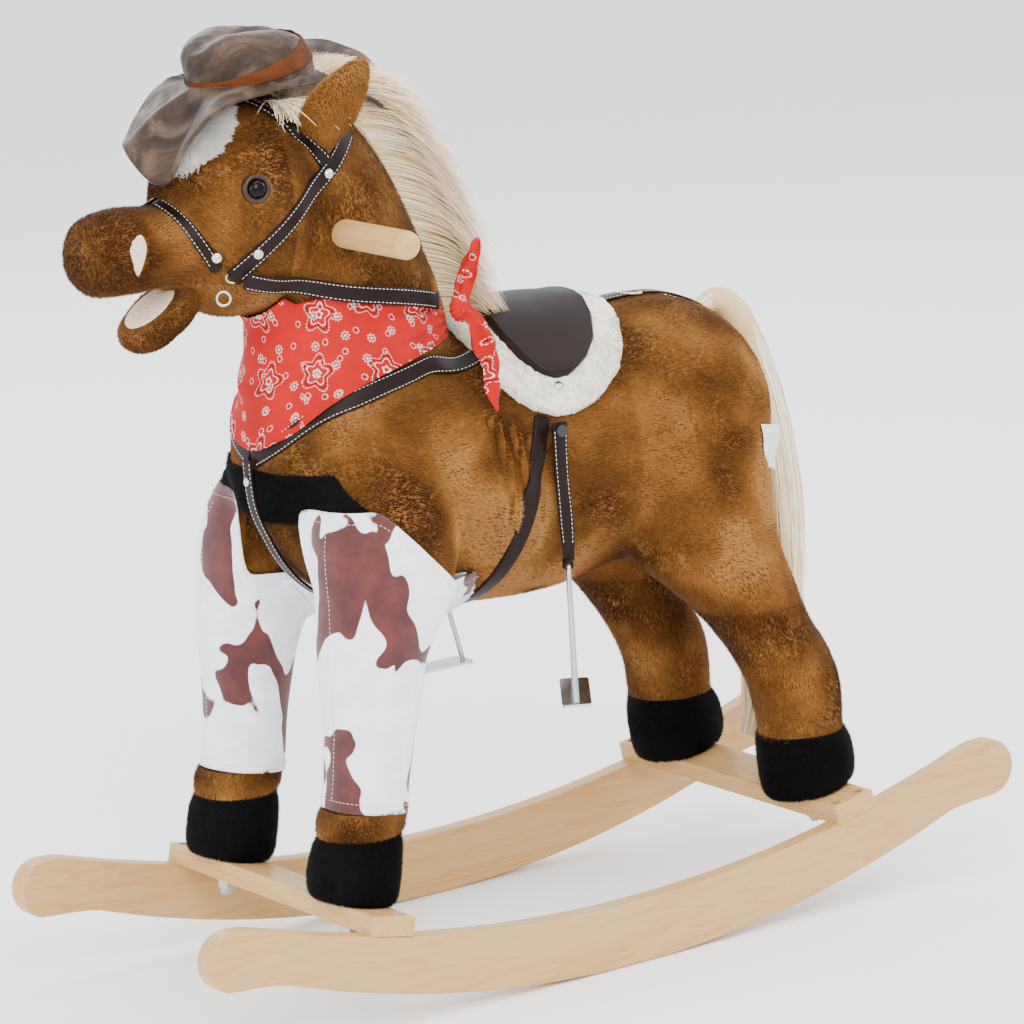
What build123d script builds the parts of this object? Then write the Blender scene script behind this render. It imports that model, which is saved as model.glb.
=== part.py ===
"""Plush rocking horse on a pine base: a stuffed pony on a steel and plywood frame, with cloth tack.

Units are millimetres. +X points to the head, +Y to the horse's left and +Z up. The origin lies on
the floor under the middle of the rockers, which stand level.
"""
import os
from math import atan2, cos, degrees, radians, sin, sqrt

from build123d import *

os.makedirs("parts", exist_ok=True)

# ---- Driving dimensions: the wooden base ----
BASE_WIDTH = 280.0
PLANK_THICKNESS = 17.2
PLANK_HEIGHT = 48.4
SOLE_RADIUS = 889.0
TOP_EDGE_RADIUS = 1067.6
SOLE_END_X = 299.0
TOP_EDGE_END_X = 318.0
ROCKER_TIP = (370.0, 79.0)
LOBE_TOP = (345.0, 102.0)
LOBE_BOTTOM = (354.0, 59.0)
CROSSBAR_X = 214.3
CROSSBAR_DEPTH = 37.0
CROSSBAR_THICKNESS = 14.6
SCREW_SPACING = 22.0
LEG_Y = 84.0

# ---- Driving dimensions: the inner frame ----
TUBE_RADIUS = 8.0
TUBE_WALL = 1.4
TUBE_SHOULDER = 180.0
TUBE_TOP_X = 150.0
TUBE_TOP_Y = 52.0
TUBE_TOP_Z = 392.0
SPINE_Z = TUBE_TOP_Z + TUBE_RADIUS
SPINE_THICKNESS = 12.0
HANDLE_X = 159.0
HANDLE_Z = 568.0
HANDLE_RADIUS = 10.5
HANDLE_LENGTH = 280.0
HEAD_CENTRE = (218.0, 0.0, 592.0)
HEAD_RADIUS = 62.0
HEAD_HALF_HEIGHT = 80.0

# ---- Driving dimensions: tack and moving parts ----
GAP = 0.5
STRAP_THICKNESS = 1.8
FLEECE_THICKNESS = 10.0
SEAT_THICKNESS = 5.0
LEATHER_PIVOT = (14.0, 405.0)
LEATHER_TOP_RADIUS = 6.5
LEATHER_Y = 101.0
STIRRUP_BAR_RADIUS = 2.0
TREAD_LENGTH = 72.0
TREAD_WIDTH = 22.0
JAW_PIVOT = (268.0, 0.0, 528.0)
TAIL_PIVOT = (-205.0, 0.0, 440.0)
PIN_CLEARANCE = 0.08

TILT = degrees(atan2(CROSSBAR_X, sqrt(TOP_EDGE_RADIUS**2 - CROSSBAR_X**2)))
SEAT_Z = PLANK_HEIGHT + TOP_EDGE_RADIUS - sqrt(TOP_EDGE_RADIUS**2 - CROSSBAR_X**2)
ENDS = {"front": 1, "rear": -1}
SIDES = {"left": 1, "right": -1}


def save(piece, name):
    """Label a finished sub-part and write it as its own STEP file."""
    piece.part.label = name
    export_step(piece.part, f"parts/{name}.step")


def crossbar_plane(end, height=0.0, y=0.0):
    """Plane of a crossbar: its own Z leans inward by the tilt, starting on the rockers' seat."""
    up = Vector(-end * sin(radians(TILT)), 0, cos(radians(TILT)))
    origin = Vector(end * CROSSBAR_X, y, SEAT_Z) + up * height
    return Plane(origin=origin, x_dir=(cos(radians(TILT)), 0, end * sin(radians(TILT))), z_dir=up)


def lofted(stations, grow=0.0):
    """Smooth solid through ellipses, each (origin, direction, half width, half depth)."""
    last = len(stations) - 1
    with BuildPart() as form:
        for index, (origin, direction, half_width, half_depth) in enumerate(stations):
            along = Vector(*direction).normalized()
            shift = grow * ((index == last) - (index == 0))
            plane = Plane(origin=Vector(*origin) + along * shift, x_dir=(0, 1, 0), z_dir=along)
            with BuildSketch(plane):
                Ellipse(half_width + grow, half_depth + grow)
        loft()
    return form.part


def slab(point, normal, thickness, low=(-400, -200, 0), high=(400, 200, 760)):
    """Flat layer through a point, cut to the box between two corners."""
    size = [b - a for a, b in zip(low, high)]
    with BuildPart() as layer:
        with BuildSketch(Plane(origin=point, z_dir=normal)):
            Rectangle(1600, 1600)
        extrude(amount=thickness / 2, both=True)
        with Locations([((low[0] + high[0]) / 2, (low[1] + high[1]) / 2, (low[2] + high[2]) / 2)]):
            Box(*size, mode=Mode.INTERSECT)
    return layer.part


def side_prism(points, radius, half_width=200.0):
    """Prism across the horse from an outline in the XZ plane, with rounded corners."""
    with BuildPart() as prism:
        with BuildSketch(Plane.XZ) as outline:
            with BuildLine():
                Polyline(*points, close=True)
            make_face()
            fillet(outline.vertices(), radius)
        extrude(amount=half_width, both=True)
    return prism.part


def tube(path_points, radii, outer, inner=0.0):
    """Round tube along straight runs joined by tangent arcs."""
    with BuildPart() as pipe:
        with BuildLine() as path:
            FilletPolyline(*path_points, radius=radii)
        with BuildSketch(Plane(origin=path.line @ 0, z_dir=path.line % 0)):
            Circle(outer)
            if inner:
                Circle(inner, mode=Mode.SUBTRACT)
        sweep(path=path.line)
    return pipe.part


# ---- Plush forms, each one able to grow for clearances and for the layers laid over it ----
TORSO_STATIONS = [
    ((-222, 0, 386), (1, 0, 0), 28, 25),
    ((-208, 0, 381), (1, 0, 0), 62, 56),
    ((-188, 0, 376), (1, 0, 0), 83, 80),
    ((-145, 0, 372), (1, 0, 0), 103, 100),
    ((-80, 0, 373), (1, 0, 0), 99, 98),
    ((-10, 0, 370), (1, 0, 0), 97, 106),
    ((60, 0, 373), (1, 0, 0), 95, 104),
    ((130, 0, 378), (1, 0, 0), 92, 99),
    ((185, 0, 392), (1, 0, 0), 74, 78),
    ((214, 0, 400), (1, 0, 0), 34, 36),
]
NECK_STATIONS = [
    ((135, 0, 430), (0, 0, 1), 70, 80),
    ((129, 0, 480), (0, 0, 1), 63, 78),
    ((135, 0, 530), (0, 0, 1), 57, 72),
    ((150, 0, 590), (0, 0, 1), 53, 62),
    ((165, 0, 640), (0, 0, 1), 40, 45),
    ((172, 0, 662), (0, 0, 1), 20, 22),
]
MUZZLE_STATIONS = [
    ((258, 0, 574), (1, 0, 0), 33, 29),
    ((285, 0, 572), (1, 0, 0), 34, 29),
    ((318, 0, 573), (1, 0, 0), 36, 30),
    ((344, 0, 571), (1, 0, 0), 28, 24),
    ((357, 0, 570), (1, 0, 0), 10, 9),
]


def torso_form(grow=0.0):
    return lofted(TORSO_STATIONS, grow)


def neck_form(grow=0.0):
    return lofted(NECK_STATIONS, grow)


def muzzle_form(grow=0.0):
    return lofted(MUZZLE_STATIONS, grow)


def head_form(grow=0.0):
    """Egg-shaped head: circles whose radii follow an ellipse, from the chin up to the poll."""
    x, _, z = HEAD_CENTRE
    half_height = HEAD_HALF_HEIGHT + grow
    with BuildPart() as form:
        for level in (-0.985, -0.9, -0.7, -0.4, 0, 0.4, 0.7, 0.9, 0.985):
            with BuildSketch(Plane(origin=(x, 0, z + level * half_height))):
                Circle((HEAD_RADIUS + grow) * sqrt(1 - level**2))
        loft()
    return form.part


def horse_form(grow):
    """Torso, neck, head and muzzle as one body."""
    return torso_form(grow) + neck_form(grow) + head_form(grow) + muzzle_form(grow)


def front_leg_form(side, grow=0.0):
    sections = [
        (127.6, 200, 84, 26, 26),
        (208, 187, 84, 29, 29),
        (260, 179, 83, 34, 35),
        (304, 167, 80, 40, 43),
        (345, 162, 74, 40, 48),
        (385, 150, 62, 34, 42),
    ]
    return lofted([((x, side * y, z), (0, 0, 1), hy, hx) for z, x, y, hy, hx in sections], grow)


def rear_leg_form(side, grow=0.0):
    sections = [
        (127.6, -207, 84, 30, 31),
        (175, -200, 84, 32, 37),
        (234, -166, 82, 37, 42),
        (290, -132, 74, 40, 62),
        (345, -135, 62, 42, 62),
        (380, -138, 50, 36, 50),
    ]
    return lofted([((x, side * y, z), (0, 0, 1), hy, hx) for z, x, y, hy, hx in sections], grow)


def ear_form(side, grow=0.0):
    root, tip = Vector(174, side * 51, 648), Vector(137, side * 62, 692)
    lean = tip - root
    shape = ((0, 9, 21), (0.4, 9, 19), (0.8, 6, 11), (1, 3, 4))
    return lofted([(tuple(root + lean * t), tuple(lean), hy, hx) for t, hy, hx in shape], grow)


def leg_tube_path(end):
    """Centre line of a bent leg tube, from one crossbar up, over and down to the other side."""
    half = []
    for side in (1, -1):
        foot = crossbar_plane(end, CROSSBAR_THICKNESS, side * LEG_Y)
        shoulder = foot.origin + foot.z_dir * TUBE_SHOULDER
        half.append([foot.origin, shoulder, Vector(end * TUBE_TOP_X, side * TUBE_TOP_Y, TUBE_TOP_Z)])
    return half[0] + half[1][::-1]


TUBE_BENDS = [60, 25, 25, 60]
leg_tube_room = {
    end: tube(leg_tube_path(sign), TUBE_BENDS, TUBE_RADIUS + 0.4) for end, sign in ENDS.items()
}

# ---- Wooden base ----
with BuildPart() as crossbar_blanks:
    for sign in ENDS.values():
        with BuildSketch(crossbar_plane(sign)):
            Rectangle(CROSSBAR_DEPTH, BASE_WIDTH)
        extrude(amount=CROSSBAR_THICKNESS)

screw_spots = [
    (across * SCREW_SPACING / 2, side * (BASE_WIDTH - PLANK_THICKNESS) / 2)
    for across in (1, -1)
    for side in (1, -1)
]


def sole_point(x):
    """Point of the sole's arc, in the plank's own plane."""
    return Vector(x, SOLE_RADIUS - sqrt(SOLE_RADIUS**2 - x**2))


def top_edge_point(x):
    """Point of the upper edge's arc, in the plank's own plane."""
    return Vector(x, PLANK_HEIGHT + TOP_EDGE_RADIUS - sqrt(TOP_EDGE_RADIUS**2 - x**2))


def rocker(side):
    """Curved plank with a rounded lobe at each end, notched for the crossbars."""
    tip, top, under = Vector(*ROCKER_TIP), Vector(*LOBE_TOP), Vector(*LOBE_BOTTOM)
    sole_end, edge_end = sole_point(SOLE_END_X), top_edge_point(TOP_EDGE_END_X)
    sole_slope = Vector(SOLE_RADIUS - sole_end.Y, SOLE_END_X).normalized()
    edge_slope = Vector(TOP_EDGE_RADIUS + PLANK_HEIGHT - edge_end.Y, TOP_EDGE_END_X).normalized()
    with BuildPart() as plank:
        outer = -side * BASE_WIDTH / 2
        with BuildSketch(Plane.XZ.offset(outer)) as outline:
            with BuildLine():
                ThreePointArc(sole_point(0), sole_point(SOLE_END_X / 2), sole_end)
                Spline(sole_end, under, tangents=[sole_slope, (1, 0.1)])
                ThreePointArc(under, tip, top)
                Spline(top, edge_end, tangents=[(-1, 0.02), edge_slope * -1])
                ThreePointArc(edge_end, top_edge_point(TOP_EDGE_END_X / 2), top_edge_point(0))
                Line(top_edge_point(0), sole_point(0))
            make_face()
            mirror(about=Plane.YZ)
        extrude(amount=side * PLANK_THICKNESS)
        edges = plank.faces().filter_by(Axis.Y).edges().filter_by(lambda e: abs(e.center().X) > 1)
        fillet(edges, 2.0)
        add(crossbar_blanks.part, mode=Mode.SUBTRACT)
        for sign in ENDS.values():
            with Locations(crossbar_plane(sign, 0.0)):
                with Locations([spot for spot in screw_spots if spot[1] * side > 0]):
                    Hole(2.5 + PIN_CLEARANCE, depth=33)
    return plank


for name, side in SIDES.items():
    save(rocker(side), f"{name}_rocker")

for end, sign in ENDS.items():
    with BuildPart() as crossbar:
        with BuildSketch(crossbar_plane(sign)):
            Rectangle(CROSSBAR_DEPTH, BASE_WIDTH)
        extrude(amount=CROSSBAR_THICKNESS)
        fillet(crossbar.faces().sort_by(Axis.Z)[-1].edges(), 1.5)
        with Locations(crossbar_plane(sign, CROSSBAR_THICKNESS)):
            with Locations(screw_spots):
                CounterBoreHole(2.5 + PIN_CLEARANCE, 3.6, 5.0)
            with Locations([(0, LEG_Y), (0, -LEG_Y)]):
                Hole(4.0 + PIN_CLEARANCE)
    save(crossbar, f"{end}_crossbar")

with BuildPart() as crossbar_screws:
    for sign in ENDS.values():
        for spot in screw_spots:
            head = crossbar_plane(sign, CROSSBAR_THICKNESS - 5.0)
            with BuildSketch(head):
                with Locations(spot):
                    Circle(3.5)
            extrude(amount=3.6)
            with BuildSketch(head):
                with Locations(spot):
                    Circle(2.5)
            extrude(amount=-42)
save(crossbar_screws, "crossbar_screws")

with BuildPart() as leg_bolts:
    for sign in ENDS.values():
        for side in SIDES.values():
            with BuildSketch(crossbar_plane(sign, CROSSBAR_THICKNESS, side * LEG_Y)):
                Circle(4.0)
            extrude(amount=30)
            with BuildSketch(crossbar_plane(sign, -14.0, side * LEG_Y)):
                Circle(4.0)
            extrude(amount=CROSSBAR_THICKNESS + 14.0)
            with BuildSketch(crossbar_plane(sign, CROSSBAR_THICKNESS + 4.0, side * LEG_Y)):
                Circle(TUBE_RADIUS - TUBE_WALL - 0.05)
            extrude(amount=22)
save(leg_bolts, "leg_bolts")

with BuildPart() as leg_nuts:
    for sign in ENDS.values():
        for side in SIDES.values():
            with BuildSketch(crossbar_plane(sign, -1.6, side * LEG_Y)):
                Circle(9)
                Circle(4.0 + PIN_CLEARANCE, mode=Mode.SUBTRACT)
            extrude(amount=1.6)
            with BuildSketch(crossbar_plane(sign, -9.0, side * LEG_Y)):
                RegularPolygon(7.5, 6)
                Circle(4.0 + PIN_CLEARANCE, mode=Mode.SUBTRACT)
            extrude(amount=7.3)
            with BuildSketch(crossbar_plane(sign, -14.5, side * LEG_Y)):
                Circle(4.2)
            with BuildSketch(crossbar_plane(sign, -9.0, side * LEG_Y)):
                Circle(6.2)
            loft()
            with BuildSketch(crossbar_plane(sign, -14.05, side * LEG_Y)):
                Circle(4.0 + PIN_CLEARANCE)
            extrude(amount=6, mode=Mode.SUBTRACT)
save(leg_nuts, "leg_nuts")

# ---- Inner frame ----
for end, sign in ENDS.items():
    with BuildPart() as leg_frame:
        add(tube(leg_tube_path(sign), TUBE_BENDS, TUBE_RADIUS, TUBE_RADIUS - TUBE_WALL))
    save(leg_frame, f"{end}_leg_frame")

neck_slot = (105.0, 155.0)
with BuildPart() as spine_board:
    with BuildSketch(Plane.XY.offset(SPINE_Z)) as board:
        Rectangle(330, 72)
        fillet(board.vertices(), 12)
        with Locations((sum(neck_slot) / 2, 0)):
            Rectangle(neck_slot[1] - neck_slot[0] + 0.2, 12.2, mode=Mode.SUBTRACT)
    extrude(amount=SPINE_THICKNESS)
save(spine_board, "spine_board")

NECK_BOARD = [
    (neck_slot[0], SPINE_Z), (neck_slot[1], SPINE_Z), (neck_slot[1], SPINE_Z + SPINE_THICKNESS),
    (172, SPINE_Z + SPINE_THICKNESS), (188, 560), (184, 598), (134, 598), (126, 560),
    (92, SPINE_Z + SPINE_THICKNESS), (neck_slot[0], SPINE_Z + SPINE_THICKNESS),
]


def neck_board_blank(half_thickness, grow=0.0):
    with BuildPart() as blank:
        with BuildSketch(Plane.XZ):
            with BuildLine():
                Polyline(*NECK_BOARD, close=True)
            make_face()
            if grow:
                offset(amount=grow, kind=Kind.INTERSECTION)
        extrude(amount=half_thickness, both=True)
    return blank.part


def cross_cylinder(x, z, radius, half_length):
    """Round bar across the horse."""
    with BuildPart() as bar:
        with BuildSketch(Plane.XZ):
            with Locations((x, z)):
                Circle(radius)
        extrude(amount=half_length, both=True)
    return bar.part


with BuildPart() as neck_board:
    add(neck_board_blank(6.0))
    add(cross_cylinder(HANDLE_X, HANDLE_Z, HANDLE_RADIUS + PIN_CLEARANCE, 20), mode=Mode.SUBTRACT)
save(neck_board, "neck_board")

with BuildPart() as frame_clips:
    for sign in ENDS.values():
        for y in (-20, 20):
            with BuildSketch(Plane.XZ.offset(-y - 6)):
                with Locations((sign * TUBE_TOP_X, TUBE_TOP_Z)):
                    Circle(TUBE_RADIUS + 1.7)
                    with Locations((0, TUBE_RADIUS - 0.8)):
                        Rectangle(42, 1.6)
                    Circle(TUBE_RADIUS + 0.15, mode=Mode.SUBTRACT)
                    with Locations((0, TUBE_RADIUS + 10)):
                        Rectangle(60, 20, mode=Mode.SUBTRACT)
            extrude(amount=12)
save(frame_clips, "frame_clips")

with BuildPart() as handle_bar:
    add(cross_cylinder(HANDLE_X, HANDLE_Z, HANDLE_RADIUS, HANDLE_LENGTH / 2))
    fillet(handle_bar.faces().filter_by(GeomType.PLANE).edges(), HANDLE_RADIUS * 0.75)
save(handle_bar, "handle_bar")

# ---- Sound unit under the spine board, and the two drives ----
BOX = (90.0, 56.0, 62.0)
BOX_WALL = 2.2
box_floor = SPINE_Z - BOX[2]
with BuildPart() as sound_box:
    with BuildSketch(Plane.XY.offset(box_floor + BOX_WALL)) as plan:
        Rectangle(BOX[0], BOX[1])
        fillet(plan.vertices(), 5)
    extrude(amount=BOX[2] - BOX_WALL)
    with BuildSketch(Plane.XY.offset(box_floor + BOX_WALL)):
        Rectangle(BOX[0] - 2 * BOX_WALL, BOX[1] - 2 * BOX_WALL)
    extrude(amount=BOX[2] - 2 * BOX_WALL, mode=Mode.SUBTRACT)
save(sound_box, "sound_box")

with BuildPart() as battery_door:
    with BuildSketch(Plane.XY.offset(box_floor)) as plan:
        Rectangle(BOX[0], BOX[1])
        fillet(plan.vertices(), 5)
    extrude(amount=BOX_WALL - 0.1)
save(battery_door, "battery_door")

with BuildPart() as batteries:
    for y in (-16, 0, 16):
        with BuildSketch(Plane.YZ.offset(-25)):
            with Locations((y, box_floor + 12)):
                Circle(7)
        extrude(amount=49)
        with BuildSketch(Plane.YZ.offset(24)):
            with Locations((y, box_floor + 12)):
                Circle(2.6)
        extrude(amount=1.2)
save(batteries, "batteries")

with BuildPart() as circuit_board:
    with BuildSketch(Plane.XY.offset(box_floor + 26)):
        Rectangle(74, 44)
    extrude(amount=1.6)
    with BuildSketch(Plane.XY.offset(box_floor + 27.6)):
        with Locations((-20, 6)):
            Rectangle(14, 14)
        with Locations((14, -8)):
            Rectangle(9, 18)
    extrude(amount=3)
save(circuit_board, "circuit_board")

with BuildPart() as speaker:
    with BuildSketch(Plane.XY.offset(box_floor + 34)):
        Circle(9)
    extrude(amount=8)
    with BuildSketch(Plane.XY.offset(box_floor + 42)):
        Circle(9)
    with BuildSketch(Plane.XY.offset(box_floor + 54)):
        Circle(22)
    loft()
    with BuildSketch(Plane.XY.offset(box_floor + 54)):
        Circle(24)
    extrude(amount=2.5)
save(speaker, "speaker")


def block(centre, size, grow=0.0):
    with BuildPart() as solid:
        with Locations([centre]):
            Box(*[edge + 2 * grow for edge in size])
    return solid.part


MOUTH_DRIVE = ((228.0, 0.0, 556.0), (34.0, 30.0, 26.0))
TAIL_DRIVE = ((-162.0, 0.0, 437.0), (30.0, 30.0, 24.0))
for name, (centre, size) in {"mouth_drive": MOUTH_DRIVE, "tail_drive": TAIL_DRIVE}.items():
    with BuildPart() as drive:
        add(block(centre, size))
        fillet(drive.edges().filter_by(Axis.Z), 4)
    save(drive, name)

# ---- Tail and jaw pins ----
tail_x, _, tail_z = TAIL_PIVOT
with BuildPart() as tail_pin:
    with BuildSketch(Plane.YZ.offset(TAIL_DRIVE[0][0] - TAIL_DRIVE[1][0] / 2)):
        with Locations((0, tail_z)):
            Circle(3)
    extrude(amount=-56)
save(tail_pin, "tail_pin")


def tail_bore(radius):
    with BuildPart() as bore:
        with BuildSketch(Plane.YZ.offset(-150)):
            with Locations((0, tail_z)):
                Circle(radius)
        extrude(amount=-87)
    return bore.part


jaw_x, _, jaw_z = JAW_PIVOT
jaw_arm = block((jaw_x - 14, 0, jaw_z + 3), (42, 5, 12))
with BuildPart() as jaw_bracket:
    add(jaw_arm)
    fillet(jaw_bracket.edges().filter_by(Axis.Y), 3)
    add(cross_cylinder(jaw_x, jaw_z, 2.0, 16))
save(jaw_bracket, "jaw_bracket")

# ---- Stuffed plush ----
dowel_room = cross_cylinder(HANDLE_X, HANDLE_Z, HANDLE_RADIUS + 0.4, 160)

with BuildPart() as torso:
    add(torso_form())
    add(block((0, 0, (380 + 416) / 2), (344, 124, 36)), mode=Mode.SUBTRACT)
    add(block((0, 0, 358), (BOX[0] + 2, BOX[1] + 2, 50)), mode=Mode.SUBTRACT)
    add(neck_board_blank(6.4, 0.4), mode=Mode.SUBTRACT)
    add(block(*TAIL_DRIVE, grow=0.4), mode=Mode.SUBTRACT)
    add(tail_bore(3.4), mode=Mode.SUBTRACT)
    for room in leg_tube_room.values():
        add(room, mode=Mode.SUBTRACT)
save(torso, "torso")

with BuildPart() as neck:
    add(neck_form())
    add(torso_form(GAP), mode=Mode.SUBTRACT)
    add(head_form(GAP), mode=Mode.SUBTRACT)
    add(neck_board_blank(6.4, 0.4), mode=Mode.SUBTRACT)
    add(dowel_room, mode=Mode.SUBTRACT)
    add(block((130, 0, 431), (200, 160, 6)), mode=Mode.SUBTRACT)
save(neck, "neck")

with BuildPart() as head:
    add(head_form())
    add(neck_board_blank(6.4, 0.4), mode=Mode.SUBTRACT)
    add(dowel_room, mode=Mode.SUBTRACT)
    add(block(*MOUTH_DRIVE, grow=0.4), mode=Mode.SUBTRACT)
    add(block((jaw_x - 14, 0, jaw_z + 3), (42.8, 5.8, 12.8)), mode=Mode.SUBTRACT)
save(head, "head")

with BuildPart() as muzzle:
    add(muzzle_form())
    add(head_form(GAP), mode=Mode.SUBTRACT)
save(muzzle, "muzzle")

# The mouth stands open; the jaw's flat upper face slopes down and forward
JAW_SLOPE = 32.0
jaw_up = (sin(radians(JAW_SLOPE)), 0, cos(radians(JAW_SLOPE)))
jaw_face = Plane(origin=(jaw_x + 4, 0, jaw_z + 4), x_dir=(0, 1, 0), z_dir=jaw_up)
jaw_stations = [
    ((258, 0, 516), (0.9, 0, -0.2), 20, 13),
    ((276, 0, 513), (0.9, 0, -0.2), 29, 19),
    ((300, 0, 512), (0.9, 0, -0.1), 29, 18),
    ((316, 0, 512), (1, 0, 0), 22, 13),
    ((324, 0, 513), (1, 0, 0), 9, 6),
]


def above_face(height):
    """Everything above a plane parallel to the jaw's upper face."""
    with BuildPart() as space:
        with BuildSketch(jaw_face.offset(height)):
            Rectangle(200, 200)
        extrude(amount=60)
    return space.part


with BuildPart() as jaw:
    add(lofted(jaw_stations))
    add(above_face(-3.0), mode=Mode.SUBTRACT)
    add(head_form(3.0), mode=Mode.SUBTRACT)
    add(block((jaw_x - 10, 0, jaw_z + 3), (48, 6, 26)), mode=Mode.SUBTRACT)
    add(cross_cylinder(jaw_x, jaw_z, 2.0 + PIN_CLEARANCE, 40), mode=Mode.SUBTRACT)
save(jaw, "jaw")

with BuildPart() as jaw_lining:
    with BuildSketch(jaw_face.offset(-2.5)):
        with Locations((0, -26)):
            Ellipse(19, 17)
    extrude(amount=2.0)
save(jaw_lining, "jaw_lining")

BUTTON_AT = (155.0, 58.0, 672.0)


def ear_button_form(grow=0.0, travel=0.0):
    x, y, z = BUTTON_AT
    with BuildPart() as form:
        with BuildSketch(Plane.XZ.offset(-(y + 2.5 + grow))):
            with Locations((x, z)):
                Circle(5 + grow)
        extrude(amount=5 + 2 * grow + travel)
    return form.part


with BuildPart() as ear_button:
    add(ear_button_form())
save(ear_button, "ear_button")


def ear_shell(side):
    """Padded ear, hollowed on the left for the button and its travel."""
    with BuildPart() as ear:
        add(ear_form(side))
        add(head_form(GAP), mode=Mode.SUBTRACT)
        add(neck_form(GAP), mode=Mode.SUBTRACT)
        if side > 0:
            add(ear_button_form(0.3, 2.0), mode=Mode.SUBTRACT)
    return ear.part


left_ear, right_ear = ear_shell(1), ear_shell(-1)
with BuildPart() as ears:
    add(left_ear)
    add(right_ear)
save(ears, "ears")


def plush_leg(form, end):
    """Stuffed leg round the steel tube of its end, up to the torso."""
    with BuildPart() as leg:
        add(form)
        add(torso_form(GAP), mode=Mode.SUBTRACT)
        add(leg_tube_room[end], mode=Mode.SUBTRACT)
    return leg.part


for end, leg_form in {"front": front_leg_form, "rear": rear_leg_form}.items():
    legs = [plush_leg(leg_form(side), end) for side in SIDES.values()]
    with BuildPart() as pair:
        for piece in legs:
            add(piece)
    save(pair, f"{end}_legs")


def below_crossbars():
    """Everything under the crossbars' upper faces, which the hooves stand on."""
    with BuildPart() as space:
        for sign in ENDS.values():
            with BuildSketch(crossbar_plane(sign, CROSSBAR_THICKNESS)):
                Rectangle(160, 320)
            extrude(amount=-60)
    return space.part


def leg_band(stations, height, name_of_room):
    """Pair of upright plush bands round the tubes of one end, flat on the crossbar below."""
    pieces = []
    for side in SIDES.values():
        with BuildPart() as band:
            add(lofted([((x, side * LEG_Y, z), (0, 0, 1), hy, hx) for z, x, hy, hx in stations]))
            fillet(band.faces().sort_by(Axis.Z)[-1].edges(), height)
            add(below_crossbars(), mode=Mode.SUBTRACT)
            add(leg_tube_room[name_of_room], mode=Mode.SUBTRACT)
        pieces.append(band.part)
    return pieces


FRONT_HOOF = [(66, 207, 31, 31), (95, 205, 34, 34), (127, 202, 32.5, 32.5)]
REAR_HOOF = [(60, -210, 34, 34), (95, -208, 37, 37), (127, -207, 35, 35)]
with BuildPart() as hooves:
    for piece in leg_band(FRONT_HOOF, 6, "front") + leg_band(REAR_HOOF, 6, "rear"):
        add(piece)
save(hooves, "hooves")

CUFF_SECTIONS = [(127.5, 202, 30), (138, 199, 32.5), (152, 196, 31)]
CUFF_CLEARANCE = 0.4


def cuff_form(side, grow=0.0):
    """Brown band round a foreleg, between its hoof and its chap."""
    return lofted([
        ((x, side * LEG_Y, z), (0, 0, 1), radius + grow, radius + grow) for z, x, radius in CUFF_SECTIONS
    ])


cuffs = [cuff_form(side) - front_leg_form(side, 1.6) for side in SIDES.values()]
with BuildPart() as leg_cuffs:
    for piece in cuffs:
        add(piece)
save(leg_cuffs, "leg_cuffs")

# ---- Layers laid over the plush ----
skin_under = horse_form(GAP + 0.1)
skin_strap = horse_form(GAP + 0.1 + STRAP_THICKNESS)
leather_layer = skin_strap - skin_under
cloth_layer = horse_form(3.4) - horse_form(GAP + 0.2)
over_layer = horse_form(3.8 + STRAP_THICKNESS) - horse_form(3.8)


def xz_normal(start, end):
    """Normal, in the side view, of a strap that runs between two points (x, z)."""
    run = Vector(end[0] - start[0], 0, end[1] - start[1]).normalized()
    return Vector(-run.Z, 0, run.X)


def side_strap(layer, start, end, width, low, high):
    """Strap cut from a layer along a straight line of the side view."""
    band = slab((start[0], 0, start[1]), xz_normal(start, end), width, low, high)
    return layer & band


COLLAR = [Vector(212, 0, 404), Vector(169, 61, 446), Vector(56, 46, 462)]


def collar_slab(side, offset_up, thickness, low_x=57.0):
    """Sloping layer that climbs from the middle of the chest to the withers on one side."""
    normal = (COLLAR[1] - COLLAR[0]).cross(COLLAR[2] - COLLAR[0]).normalized()
    normal = Vector(normal.X, side * normal.Y, normal.Z)
    low = (low_x, min(0, side * 200), 330)
    high = (260, max(0, side * 200), 520)
    return slab(COLLAR[0] + normal * offset_up, normal, thickness, low, high)


# Chaps: cloth tubes over the forelegs, their tops cut on a slope that falls to the rear
CHAP_OUTLINE = [(40, 150), (40, 240), (108, 296), (196, 362), (262, 362), (262, 158)]


def chap_tube(side):
    """Cloth tube with its slanted top, clear of the leg, the torso and the cuff."""
    with BuildPart() as chap:
        add(front_leg_form(side, 5.0))
        add(front_leg_form(side, 0.8), mode=Mode.SUBTRACT)
        add(side_prism(CHAP_OUTLINE, 1), mode=Mode.INTERSECT)
        add(torso_form(1.0), mode=Mode.SUBTRACT)
        add(cuff_form(side, CUFF_CLEARANCE), mode=Mode.SUBTRACT)
    return chap.part.solids().sort_by(SortBy.VOLUME)[-1]


left_chap, right_chap = chap_tube(1), chap_tube(-1)
with BuildPart() as chaps:
    add(left_chap)
    add(right_chap)
save(chaps, "chaps")

with BuildPart() as chaps_belt:
    add(torso_form(8.0))
    add(torso_form(3.0), mode=Mode.SUBTRACT)
    add(side_prism([(172, 364), (186, 400), (240, 396), (240, 364)], 2), mode=Mode.INTERSECT)
    for side in SIDES.values():
        add(front_leg_form(side, 5.4), mode=Mode.SUBTRACT)
save(chaps_belt, "chaps_belt")

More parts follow.
